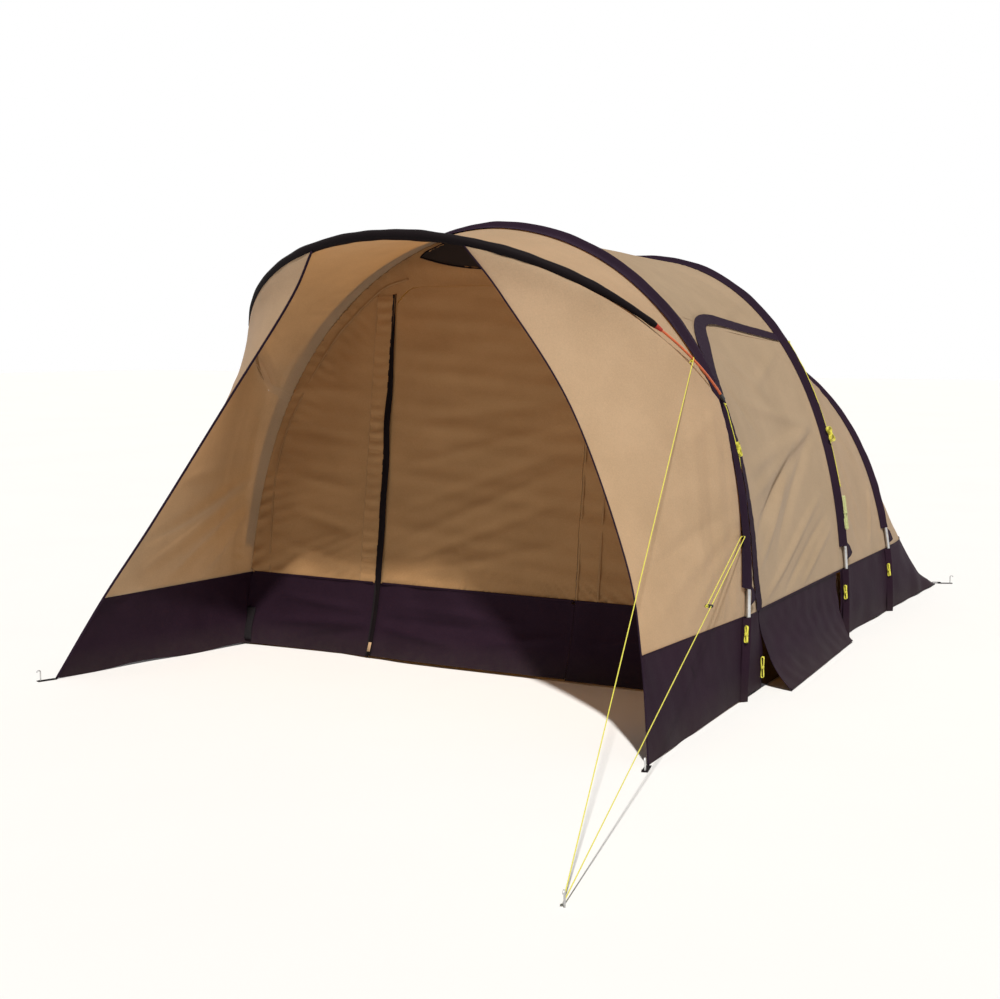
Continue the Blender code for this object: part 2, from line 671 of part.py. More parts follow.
def canopy_grid(inset):
    """The porch roof, from the front arch forwards to the hoop."""
    rows = range(PIVOT_ROW, LAST_ROW - PIVOT_ROW + 1)
    line = arch_line(FRONT, inset)
    drop = inset - SKIN_DROP
    grid = []
    for i in rows:
        share = (i - PIVOT_ROW) / (LAST_ROW - 2 * PIVOT_ROW)
        angle = CANOPY_START + (math.pi - 2 * CANOPY_START) * share
        back = moved(line[i], -GAP)
        if i in (rows[0], rows[-1]):
            above = line[i + 1] if i == rows[0] else line[i - 1]
            back = back.lerp(moved(above, -GAP), CANOPY_FOOT / (above - line[i]).length)
        rim = hoop_point(angle)
        from_pivot = min(angle, math.pi - angle)
        turned = turned_back(from_pivot)
        away = HOOP_NORMAL.slerp((back - rim).normalized(), turned)
        rim = rim + away * rim_drop(from_pivot) + HOOP_NORMAL * drop * turned
        rim.x -= math.copysign(drop * (1 - turned), rim.x)
        inward = Vector((-math.cos(math.pi * share), 0, -math.sin(math.pi * share)))
        near = NEAR_SEAM / (rim - back).length
        shares = [0.0, near, near + (1 - near) * 0.33, near + (1 - near) * 0.66, 1.0]
        bulge = SAG_CANOPY * math.sin(math.pi * share)
        strip = [back.lerp(rim, s) for s in shares]
        for k in (2, 3):
            strip[k] = strip[k] + inward * bulge
        grid.append(strip)
    return grid


def sleeve_section(frame, ways, widths):
    """Ring of a flat sleeve round a pole, its base and lips lying along the skin on each side."""
    point, out, across = frame
    fore, aft = ways
    base = point - out * (SKIN_DROP - 2 * GAP)
    low_fore, low_aft = base + fore * widths[0] + out * LIP_LIFT, base + aft * widths[1] + out * LIP_LIFT
    reach = POLE_RADIUS + POLE_PLAY + SLEEVE_WALL
    return [
        base,
        base + fore * SLEEVE_BASE,
        low_fore,
        low_fore + out * SLEEVE_LIP,
        point + across * reach - out * SLEEVE_LIP,
        point + (across + out).normalized() * reach,
        point + out * reach,
        point + (out - across).normalized() * reach,
        point - across * reach - out * SLEEVE_LIP,
        low_aft + out * SLEEVE_LIP,
        low_aft,
        base + aft * SLEEVE_BASE,
    ]


def leg_widths(arch):
    """How far an arch's sleeve reaches ahead of its pole and behind it, along the legs."""
    if arch is FRONT:
        return FRONT_SLEEVE_AHEAD, FRONT_SLEEVE_BEHIND
    return SLEEVE_HALF_WIDTH, SLEEVE_HALF_WIDTH


def sleeve_widths(arch, row):
    """The same on any row: the front arch's sleeve broadens ahead of the pole over the roof."""
    ahead, behind = leg_widths(arch)
    if arch is FRONT:
        above = min(row, LAST_ROW - row) - PIVOT_ROW
        ahead += FRONT_SLEEVE_BROADER * min(1.0, max(0.0, above / SHOULDER_ROWS))
    return ahead, behind


def skin_ways(arch):
    """For each row of an arch, the directions in which the skins leave it forwards and backwards."""
    aim = {
        FRONT: (None, MIDDLE),
        MIDDLE: (FRONT, REAR),
        REAR: (MIDDLE, None),
    }[arch]
    own = arch_line(arch, SKIN_DROP)
    ways = []
    for i, point in enumerate(own):
        pair = []
        for side, other in zip((-1, 1), aim):
            if other:
                pair.append([(arch_line(other, SKIN_DROP)[i] - point).normalized()])
            elif side < 0:
                pair.append(porch_ways(i))
            else:
                pair.append([tail_way(point)])
        ways.append(pair)
    return outermost(arch, ways)


def outermost(arch, ways):
    """For each row, the most outward of its own and its neighbours' directions, so that lips stay clear."""
    found = []
    for i, (point, out, across) in enumerate(arch_frames(arch)):
        near = ways[max(0, i - 1):i + 2]
        found.append([max((way for pair in near for way in pair[side]), key=out.dot) for side in (0, 1)])
    return found


def porch_ways(i):
    """The directions in which the porch skins leave the front arch on one row."""
    low, mirror_row = min(i, LAST_ROW - i), i > CROWN_ROW
    lines = []
    if low <= SEAM_ROW:
        lines.append(wing_mud_grid(SKIN_DROP)[low][len(WING_SHARES) - 1::-1])
    if SEAM_ROW <= low <= PIVOT_ROW:
        lines.append(wing_grid(SKIN_DROP)[2 * (low - SEAM_ROW)])
    if low >= PIVOT_ROW:
        lines.append(canopy_grid(SKIN_DROP)[low - PIVOT_ROW])
    ways = [(line[1] - line[0]).normalized() for line in lines]
    return [Vector((-way.x, way.y, way.z)) for way in ways] if mirror_row else ways


def tail_way(point):
    """The direction in which the tail leaves the rear arch at a point of its skin."""
    step = 0.03
    near, far = tail_section(REAR_Y), tail_section(REAR_Y + step)
    scale_x, scale_z = far[0] / near[0], far[1] / near[1]
    return Vector((point.x * (scale_x - 1), step, TAIL_LIP_SLOPE * point.z * (scale_z - 1))).normalized()


def build_pole_arch(name, arch):
    """One arch: the pole, the sleeve over its crown and the pockets at its feet."""
    track = arch_frames(arch)
    ways = skin_ways(arch)
    lean_lift = POLE_RADIUS * math.sin(arch.lean)
    feet = list(track)
    feet[0] = (track[0][0] + Vector((0, 0, lean_lift)), *track[0][1:])
    feet[-1] = (track[-1][0] + Vector((0, 0, lean_lift)), *track[-1][1:])
    loft(f"{name}_pole", [ring(frame, POLE_RADIUS) for frame in feet], "steel")
    bore = POLE_RADIUS + POLE_PLAY
    covered = range(SLEEVE_ROW, LAST_ROW - SLEEVE_ROW + 1)
    loft(
        f"{name}_sleeve",
        [sleeve_section(track[i], ways[i], sleeve_widths(arch, i)) for i in covered],
        "sleeve_cloth",
        [ring(track[i], bore) for i in covered],
    )
    feet_rows = {"right": range(SEAM_ROW + 1), "left": range(LAST_ROW, LAST_ROW - SEAM_ROW - 1, -1)}
    for side, order in feet_rows.items():
        outer, inner = [], []
        for k, i in enumerate(order):
            point, out, across = track[i]
            lift = Vector((0, 0, (GROUND_PLAY, 0.0, -GROUND_PLAY)[k]))
            frame = (point + lift, out, across)
            outer.append(sleeve_section(frame, ways[i], [POCKET_SHARE * SLEEVE_HALF_WIDTH] * 2))
            inner.append(ring(frame, bore))
        loft(f"{name}_pole_pocket_{side}", outer, "mud_cloth", inner)


def hoop_line(first, steps):
    """Points along the hoop from an angle at its right end to the same angle at its left."""
    return [hoop_point(first + (math.pi - 2 * first) * k / steps) for k in range(steps + 1)]


def rod_line():
    return hoop_line(HOOP_ROD_START, 32)


def build_hoop():
    """The porch hoop: a bent rod and its round sleeve."""
    loft("hoop_rod", [ring(frame, HOOP_RADIUS, 8) for frame in frames(rod_line(), HOOP_NORMAL)], "rod")
    covered = frames(hoop_line(HOOP_SLEEVE_START, 24), HOOP_NORMAL)
    loft(
        "hoop_sleeve",
        [ring(frame, HOOP_SLEEVE_RADIUS, 10) for frame in covered],
        "hoop_sleeve_cloth",
        [ring(frame, HOOP_RADIUS + HOOP_SLEEVE_PLAY, 10) for frame in covered],
    )


def build_wings():
    outer, inner = both(wing_grid)
    two_sides("porch_wing", raised(outer), raised(inner), "cotton")
    outer, inner = both(wing_mud_grid)
    two_sides("front_mud_wall", outer, inner, "mud_cloth")


def build_canopy():
    outer, inner = both(canopy_grid)
    shell("porch_canopy", outer, inner, "cotton")


def wall_place():
    """Placement of the leaning front wall: local x across, local y up the wall."""
    up = Vector((0, math.sin(FRONT_LEAN), math.cos(FRONT_LEAN)))
    out = Vector((0, -math.cos(FRONT_LEAN), math.sin(FRONT_LEAN)))
    turn = Matrix((Vector((1, 0, 0)), up, out)).transposed().to_4x4()
    return Matrix.Translation((0, FRONT_Y, 0)) @ turn


def up_wall(height):
    return height / math.cos(FRONT_LEAN)


def wall_rim():
    """The front wall's rim in its own plane, just inside the skins that meet the front arch."""
    line = arch_line(FRONT, SKIN_DROP + FABRIC + GAP)
    return [(p.x, up_wall(p.z)) for p in line]


def rounded_top(left, right, low, high, radius, steps=5):
    """Outline of an opening with a straight foot and two round top corners, anticlockwise."""
    points = [(left, low), (right, low)]
    for centre_x, start in ((right - radius, 0.0), (left + radius, math.pi / 2)):
        for k in range(steps + 1):
            a = start + math.pi / 2 * k / steps
            points.append((centre_x + radius * math.cos(a), high - radius + radius * math.sin(a)))
    return points


def vent_outline():
    """The crescent vent under the crown of the front wall, clockwise from its right tip."""
    steps = 8
    low, tip = FRONT_HEIGHT - VENT_DEPTH, FRONT_HEIGHT - VENT_TIP_DEPTH
    high = FRONT_HEIGHT - SKIN_DROP - FABRIC - VENT_RIM
    outline = []
    for k in range(steps):
        x = VENT_HALF_WIDTH * (1 - 2 * k / steps)
        outline.append((x, up_wall(low + (tip - low) * (x / VENT_HALF_WIDTH) ** 2)))
    for k in range(steps):
        x = VENT_HALF_WIDTH * (2 * k / steps - 1)
        outline.append((x, up_wall(high + (tip - high) * (x / VENT_HALF_WIDTH) ** 2)))
    return outline


def shrunk(outline, by):
    """A clockwise outline with each corner moved in by a distance."""
    found = []
    for k, (x, y) in enumerate(outline):
        before, after = Vector(outline[k - 1]), Vector(outline[(k + 1) % len(outline)])
        here = Vector((x, y))
        ways = [(here - before).normalized(), (after - here).normalized()]
        normals = [Vector((way.y, -way.x)) for way in ways]
        middle = (normals[0] + normals[1]).normalized()
        found.append(tuple(here + middle * (by / max(0.3, middle.dot(normals[0])))))
    return found


def build_front_wall():
    """The front wall with its vent, its door leaf and the mud wall below."""
    place = wall_place()
    seam = up_wall(MUD_WALL_HEIGHT)
    rim = wall_rim()
    door = rounded_top(DOOR_ZIP_X, DOOR_HINGE_X, 0.0, up_wall(DOOR_TOP), DOOR_CORNER)
    above = [p for p in rim if p[1] > seam + GAP]
    edge = max(p[0] for p in rim if p[1] > seam - 0.1)
    notch = [(x, max(y, seam + GAP)) for x, y in door]
    low_left, low_right, arc = notch[0], notch[1], notch[2:]
    outline = above + [(-edge, seam + GAP), low_left, *reversed(arc), low_right, (edge, seam + GAP)]
    plate("front_wall", outline, FABRIC, place, "cotton", [vent_outline()])
    plate("front_vent_mesh", shrunk(vent_outline(), GAP), FABRIC / 2, place, "mesh")

    play = DOOR_PLAY
    low = up_wall(GROUND_PLAY)
    hinge = place @ Vector((DOOR_HINGE_X, 0, 0))
    leaf = rounded_top(DOOR_ZIP_X + play, DOOR_HINGE_X - play, seam + GAP,
                       up_wall(DOOR_TOP) - play, DOOR_CORNER - play)
    plate("front_door_leaf", leaf, FABRIC, place, "cotton", pivot=hinge)
    skirt = [(DOOR_ZIP_X + play, low), (DOOR_HINGE_X - play, low),
             (DOOR_HINGE_X - play, seam - GAP), (DOOR_ZIP_X + play, seam - GAP)]
    plate("front_door_mud_flap", skirt, FABRIC, place, "mud_cloth", pivot=hinge)
    foot, head = up_wall(STRIP_PLAY), seam - GAP
    corner = rim[SEAM_ROW][0]
    right = [(DOOR_HINGE_X, foot), (rim[0][0], foot), *rim[1:SEAM_ROW], (corner, head), (DOOR_HINGE_X, head)]
    left = [(DOOR_ZIP_X, foot), (-rim[0][0], foot), *((-x, y) for x, y in rim[1:SEAM_ROW])]
    left += [(-corner, head), (DOOR_ZIP_X, head)]
    plate("front_wall_mud_strip_right", right, FABRIC, place, "mud_cloth")
    plate("front_wall_mud_strip_left", left, FABRIC, place, "mud_cloth")


def build_bay_one():
    """Bay one: the roof with its jambs, and a hinged door with a flared mud flap on each side."""
    rows = range(SEAM_ROW, LAST_ROW - SEAM_ROW + 1)
    top, count = LEVEL_ROW - SEAM_ROW, len(rows) - 1
    outer, inner = both(lambda inset: bay_grid(FRONT, MIDDLE, SAG_BAY_ONE, bay_one_stations, inset, rows))

    def keep(i, j):
        beside_door = 2 <= j <= 6
        return not (beside_door and (i < top or i >= count - top))

    shell("bay_one_roof", raised(outer, True), raised(inner, True), "cotton", keep)

    hinge = side_hinge()[0]

    def door_stations(i, near):
        first, last = bay_one_edges(i)
        span = BAY_ONE_LENGTH
        first, last = first + SIDE_DOOR_PLAY / span, last - SIDE_DOOR_PLAY / span
        return [first + (last - first) * k / 6 for k in range(7)]

    def door_grid(inset):
        grid = bay_grid(FRONT, MIDDLE, SAG_BAY_ONE, door_stations, inset, range(SEAM_ROW, LEVEL_ROW + 1))
        grid[-1] = [p.lerp(q, SIDE_DOOR_PLAY / (p - q).length) for p, q in zip(grid[-1], grid[-2])]
        return raised(grid)

    def flap_grid(inset):
        grid = bay_grid(FRONT, MIDDLE, 0.0, door_stations, inset, range(SEAM_ROW + 1))
        rear = MIDDLE_Y - SIDE_DOOR_HINGE - SIDE_FLAP_REAR_INSET
        made = []
        for i, line in enumerate(grid):
            fall = 1 - i / SEAM_ROW
            low, high = line[0].y, line[-1].y
            changed = []
            for k, p in enumerate(line):
                share = k / (len(line) - 1)
                out = SIDE_FLAP_FRONT_OUT + (SIDE_FLAP_REAR_OUT - SIDE_FLAP_FRONT_OUT) * share
                y = low + (rear - low) * share
                changed.append(Vector((p.x + out * fall ** SIDE_FLAP_CURL, y, max(p.z, GROUND_PLAY))))
            made.append(changed)
        return lowered(made)

    door, door_back = both(door_grid)
    flap, flap_back = both(flap_grid)
    for side, sign in (("right", 1), ("left", -1)):
        pivot = (sign * hinge.x, hinge.y, 0)
        turned = (lambda grid: grid) if sign > 0 else mirrored
        shell(f"side_door_{side}", turned(door), turned(door_back), "cotton", pivot=pivot)
        shell(f"side_door_mud_flap_{side}", turned(flap), turned(flap_back), "mud_cloth", pivot=pivot)


def build_bay_two():
    rows = range(SEAM_ROW, LAST_ROW - SEAM_ROW + 1)
    outer, inner = both(lambda inset: bay_grid(MIDDLE, REAR, SAG_BAY_TWO, bay_two_stations, inset, rows))
    shell("bay_two_skin", raised(outer, True), raised(inner, True), "cotton")


def build_tail():
    """The tail skin, and the mud wall that runs from the middle arch round the tail and back."""
    heights = [MUD_WALL_HEIGHT]
    for i in range(SEAM_ROW + 1, CROWN_ROW):
        heights.append(arch_point(REAR, arch_rows(REAR)[i]).z)

    def skin(inset):
        squeeze = (REAR_HEIGHT - inset - MUD_WALL_HEIGHT) / (REAR_HEIGHT - MUD_WALL_HEIGHT)
        levels = [MUD_WALL_HEIGHT + (height - MUD_WALL_HEIGHT) * squeeze for height in heights]
        grid = [tail_line(level, inset) for level in levels]
        crown = arch_point(REAR, math.pi / 2, inset)
        grid.append([moved(crown, GAP)] * len(grid[0]))
        return raised(grid)

    outer, inner = both(skin)
    shell("tail_skin", outer, inner, "cotton")

    def stations_ahead(i, near):
        return [bay_one_edges(i)[1], 1.0]

    def mud(inset):
        rows = range(SEAM_ROW + 1)
        ahead = bay_grid(FRONT, MIDDLE, 0.0, stations_ahead, inset, rows)
        bay = bay_grid(MIDDLE, REAR, 0.0, bay_two_stations, inset, rows)
        grid = []
        for i in rows:
            height = MUD_WALL_HEIGHT * i / MUD_ROWS
            right = [ahead[i][0]] + bay[i]
            left = [Vector((-p.x, p.y, p.z)) for p in reversed(right)]
            grid.append(right + tail_line(height, inset)[1:-1] + left)
        return lowered(grid)

    outer, inner = both(mud)
    shell("rear_mud_wall", outer, inner, "mud_cloth")


def build_floor():
    """The flat floor, up to the inside of all mud walls."""
    inset = SKIN_DROP + FABRIC + GAP
    foot, corner = (Vector((arch.half_width - inset, arch.foot_y)) for arch in (FRONT, MIDDLE))
    front = foot.lerp(corner, FLOOR_FRONT / BAY_ONE_LENGTH)
    first_row = MUD_WALL_HEIGHT / MUD_ROWS
    levels = [tail_line(height, inset + TAIL_FLOOR_PLAY) for height in (0.0, first_row)]
    tail = [low.lerp(high, FABRIC / first_row) for low, high in zip(*levels)]
    outline = [tuple(front), tuple(corner), *((p.x, p.y) for p in tail)]
    outline += [(-x, y) for x, y in (tuple(corner), tuple(front))]
    plate("floor", outline, FABRIC, Matrix.Translation((0, 0, FABRIC / 2)), "floor_cloth")


def build_inner_tent():
    """The bedroom: a light tent hung inside the rear bay and the tail, open at the front."""
    start, end = MIDDLE_Y + INNER_START, MIDDLE_Y + INNER_START + INNER_DEPTH
    foot = FABRIC + 2 * GAP

    def hoop(y, scale, inset):
        """An arc of the inner tent under the outer skin at y."""
        if y < REAR_Y:
            share = (y - MIDDLE_Y) / BAY_TWO_LENGTH
            half = MIDDLE_HALF_WIDTH + (REAR_HALF_WIDTH - MIDDLE_HALF_WIDTH) * share
            top = MIDDLE_HEIGHT + (REAR_HEIGHT - MIDDLE_HEIGHT) * share
        else:
            half, top = tail_section(y)
        half, top = (half - INNER_GAP) * scale - inset, (top - INNER_GAP) * scale - inset
        arc = Arch(half, top, REAR_POWER, REAR_POWER, y, 0.0, top)
        line = []
        for k in range(15):
            p = arch_point(arc, math.pi * k / 14)
            line.append(Vector((p.x, p.y, max(p.z, foot))))
        return line

    def grid(inset):
        into = 0.0 if inset == 0 else FABRIC
        back = 0.0 if inset == 0 else -FABRIC
        arcs = [hoop(start + into, INNER_DOOR_SCALE, -inset), hoop(start + into, 1.0, inset)]
        arcs += [hoop(start + (end - start) * s, 1.0, inset) for s in INNER_ARCS]
        wall = hoop(end + back, INNER_BACK_SCALE, inset)
        arcs += [hoop(end + back, 1.0, inset), [moved(p, INNER_BACK_BULGE / 2) for p in wall]]
        middle = [Vector((0, p.y + INNER_BACK_BULGE, foot)) for p in wall]
        return [list(line) for line in zip(*reversed(arcs + [middle]))]

    shell("inner_tent", grid(0.0), grid(FABRIC), "inner_cloth")


def at_height(arch, height):
    """The row of an arch's right leg just below a height, and the share of the way to the next row."""
    rows = [arch_point(arch, angle).z for angle in arch_rows(arch)[:CROWN_ROW]]
    row = max(i for i, z in enumerate(rows) if z <= height)
    return row, (height - rows[row]) / (rows[row + 1] - rows[row])


def on_sleeve(arch, height, reach, stand_off, widths):
    """Placement over a sleeve's face on the right leg: local x backwards, y up the leg, z outwards."""
    row, share = at_height(arch, height)
    track, ways = arch_frames(arch), skin_ways(arch)
    sections = [sleeve_section(track[i], ways[i], widths) for i in (row, row + 1)]
    shoulder, lip = (8, 9) if reach > 0 else (4, 3)
    width = widths[1] if reach > 0 else widths[0]
    near = POLE_RADIUS + POLE_PLAY + SLEEVE_WALL
    out_share = (abs(reach) - near) / (width - near)
    spots = [section[shoulder].lerp(section[lip], out_share) for section in sections]
    up = (spots[1] - spots[0]).normalized()
    slope = (sections[0][lip] - sections[0][shoulder]) * math.copysign(1, reach)
    back = (slope - up * slope.dot(up)).normalized()
    out = back.cross(up).normalized()
    spot = spots[0].lerp(spots[1], share) + out * stand_off
    return Matrix.Translation(spot) @ Matrix((back, up, out)).transposed().to_4x4()


def on_ridge(arch, height, stand_off, aft=0.0):
    """Placement over the ridge of a sleeve on the right leg: local x backwards, y up the leg, z outwards."""
    row, share = at_height(arch, height)
    track = arch_frames(arch)
    reach = POLE_RADIUS + POLE_PLAY + SLEEVE_WALL
    spots = [track[i][0] + track[i][1] * reach for i in (row, row + 1)]
    up = (spots[1] - spots[0]).normalized()
    back = Vector((0, 1, 0)) - up * up.y
    back.normalize()
    out = back.cross(up).normalized()
    spot = spots[0].lerp(spots[1], share) + out * stand_off + back * aft
    return Matrix.Translation(spot) @ Matrix((back, up, out)).transposed().to_4x4()


def stadium(length, width, steps=5):
    """Outline of a flat bar with round ends, its length along y."""
    radius = width / 2
    points = []
    for centre_y, start in ((length / 2 - radius, 0.0), (radius - length / 2, math.pi)):
        for k in range(steps + 1):
            a = start + math.pi * k / steps
            points.append((radius * math.cos(a), centre_y + radius * math.sin(a)))
    return points


def circle(x, y, radius, count=12):
    return [(x + radius * math.cos(2 * math.pi * k / count), y + radius * math.sin(2 * math.pi * k / count))
            for k in range(count)]


def oval(centre, along, up, half_height, half_thick, squareness=1.0):
    """Twelve points round a centre, square to a direction: a circle, or with more squareness a flat bar."""
    high = up - along * along.dot(up)
    high.normalize()
    side = along.cross(high)
    points = []
    for k in range(12):
        c, s = math.cos(math.pi * k / 6), math.sin(math.pi * k / 6)
        c, s = (max(-1.0, min(1.0, squareness * value)) for value in (c, s))
        points.append(centre + high * half_height * c + side * half_thick * s)
    return points


def build_hoop_eyes():
    """At each end of the hoop: a cup that holds the rod's end, on a tab that lies over the front sleeve."""
    end, above = rod_line()[:2]
    along = (above - end).normalized()
    bore = HOOP_RADIUS + ROD_PLAY
    half, thick = EYE_TAB_WIDTH / 2, EYE_TAB_THICK / 2
    ridge_place = on_ridge(FRONT, EYE_TAB_HEIGHT, EYE_OVER_RIDGE + thick)
    ridge, up = ridge_place.translation, ridge_place.col[1].xyz
    lift = EYE_OVER_LIP + thick
    behind = on_sleeve(FRONT, EYE_TAB_HEIGHT, EYE_TAB_BEHIND, lift, leg_widths(FRONT)).translation
    neck = end - along * EYE_NECK
    way, back_way = (neck - ridge).normalized(), (ridge - behind).normalized()
    floor = end - along * 2 * GAP
    wide, narrow = EYE_TAPER
    rings = [
        oval(behind, back_way, up, half, thick, EYE_TAB_SQUARE),
        oval(ridge, (way + back_way).normalized(), up, half, thick, EYE_TAB_SQUARE),
        oval(ridge.lerp(neck, wide), way, up, half, thick, EYE_TAB_SQUARE),
        oval(neck, (way + along).normalized(), up, narrow * half, thick, EYE_NECK_SQUARE),
        oval(floor - along * EYE_FLOOR, along, up, bore, bore),
        oval(floor - along * EYE_FLOOR / 2, along, up, bore + EYE_WALL, bore + EYE_WALL),
        oval(end + along * EYE_DEPTH, along, up, bore + EYE_WALL, bore + EYE_WALL),
        oval(end + along * EYE_DEPTH, along, up, bore, bore),
        oval(floor, along, up, bore, bore),
    ]
    loft("hoop_eye_right", rings, "black_plastic")
    loft("hoop_eye_left", mirrored(rings), "black_plastic")


def peg(name, foot, way):
    """A wire peg standing in the ground, its hook bent over in a direction."""
    line = [foot, foot + Vector((0, 0, 0.6 * PEG_HEIGHT)), foot + Vector((0, 0, PEG_HEIGHT - PEG_HOOK))]
    centre = line[-1] + way * PEG_HOOK
    for k in range(1, 7):
        a = math.pi - math.pi * k / 6
        line.append(centre + way * PEG_HOOK * math.cos(a) + Vector((0, 0, PEG_HOOK * math.sin(a))))
    side = way.cross(Vector((0, 0, 1)))
    loft(name, [ring(frame, PEG_RADIUS, 8) for frame in frames(line, side)], "steel")


def build_corner_straps():
    """Webbing straps from the mud walls' corners along the ground, each with its peg."""
    corners = [
        ("front_corner", "right", (FRONT_CORNER_HALF_WIDTH, FRONT_Y - PORCH_REACH), (0.30, -1.0)),
        ("front_corner", "left", (-FRONT_CORNER_HALF_WIDTH, FRONT_Y - PORCH_REACH), (-0.30, -1.0)),
        ("rear_corner", "right", (TAIL_HALF_WIDTH - SKIN_DROP, TAIL_Y - SKIN_DROP), (0.9, 0.45)),
    ]
    for corner, side, (x, y), way in corners:
        out = Vector((*way, 0)).normalized()
        turn = Matrix.Rotation(math.atan2(out.y, out.x), 4, "Z")
        place = Matrix.Translation(Vector((x, y, STRAP_THICK / 2)) + out * 2 * GAP) @ turn
        half = STRAP_WIDTH / 2
        outline = [(0, -half), (STRAP_LENGTH, -half), (STRAP_LENGTH, half), (0, half)]
        hole = circle(STRAP_LENGTH - STRAP_EYELET, 0, PEG_RADIUS + PEG_PLAY)
        plate(f"{corner}_strap_{side}", outline, STRAP_THICK, place, "webbing", [hole])
        foot = place @ Vector((STRAP_LENGTH - STRAP_EYELET, 0, -STRAP_THICK / 2))
        peg(f"{corner}_peg_{side}", foot, out)


def build_zip_covers():
    """The dark strip over each side door's zip: up the free edge and along the top, moving with the door."""
    def over_skin(row, distance, lift):
        """A point over bay one's skin, on a row or between two, at a distance behind the front arch."""
        whole = min(int(row), LEVEL_ROW)

        def on_row(i):
            length = (arch_line(MIDDLE, SKIN_DROP)[i] - arch_line(FRONT, SKIN_DROP)[i]).length
            share = distance / length
            return bay_grid(FRONT, MIDDLE, SAG_BAY_ONE, lambda *_: [share], SKIN_DROP - lift, [i])[0][0]

        return on_row(whole).lerp(on_row(whole + 1), row - whole)

    def edges(height):
        """Distances of the strip's two edges behind the front arch."""
        edge = door_station(height)
        hidden = min(1.0, max(0.0, (edge - ZIP_COVER_FROM_ARCH) / ZIP_COVER_HALF))
        reach = ZIP_COVER_NARROW + (ZIP_COVER_HALF - ZIP_COVER_NARROW) * hidden
        return max(ZIP_COVER_FROM_ARCH, edge - ZIP_COVER_HALF), edge + reach

    def strip(lift):
        rows = []
        for k in range(2 * (LEVEL_ROW - SEAM_ROW) + 1):
            row = SEAM_ROW + k / 2
            low, high = (arch_point(FRONT, angle).z for angle in arch_rows(FRONT)[int(row):int(row) + 2])
            fore, aft = edges(low + (high - low) * (row - int(row)))
            rows.append([over_skin(row, distance, lift) for distance in (fore, (fore + aft) / 2, aft)])
        above, below = LEVEL_ROW + ZIP_COVER_ABOVE, LEVEL_ROW - ZIP_COVER_BELOW
        corner, width = door_station(FRONT.level), ZIP_COVER_HALF
        rows.append([over_skin(LEVEL_ROW + ZIP_COVER_ABOVE / 2, corner - width, lift),
                     over_skin(LEVEL_ROW, corner, lift),
                     over_skin(below - ZIP_COVER_BELOW, corner + width, lift)])
        length = (arch_line(MIDDLE, SKIN_DROP)[LEVEL_ROW] - arch_line(FRONT, SKIN_DROP)[LEVEL_ROW]).length
        last = length - SLEEVE_HALF_WIDTH - ZIP_COVER_NARROW
        starts = (corner - width / 3, corner + 0.8 * width, corner + 2 * width)
        for k in range(8):
            distances = [start + (last - start) * k / 7 for start in starts]
            rows.append([over_skin(row, distance, lift)
                         for row, distance in zip((above, LEVEL_ROW, below), distances)])
        return rows

    outer, inner = strip(ZIP_COVER_LIFT + ZIP_COVER_THICK), strip(ZIP_COVER_LIFT)
    pivot = side_hinge()[0]
    shell("side_door_zip_cover_right", outer, inner, "sleeve_cloth", pivot=pivot)
    pivot.x = -pivot.x
    shell("side_door_zip_cover_left", mirrored(outer), mirrored(inner), "sleeve_cloth", pivot=pivot)


def build_zip_slider():
    """The front door's zip slider with its pull, at the foot of the zip."""
    body, pull = SLIDER_WIDTH / 2, PULL_WIDTH / 2
    outline = [(-body, 0), (-pull, 0), (-pull, -PULL_LENGTH), (pull, -PULL_LENGTH), (pull, 0), (body, 0),
               (body, SLIDER_HEIGHT), (-body, SLIDER_HEIGHT)]
    spot = Vector((DOOR_ZIP_X, up_wall(SLIDER_START), FABRIC / 2 + 2 * GAP + SLIDER_THICK / 2))
    place = wall_place() @ Matrix.Translation(spot)
    plate("front_zip_slider", outline, SLIDER_THICK, place, "black_plastic", pivot=place.translation)


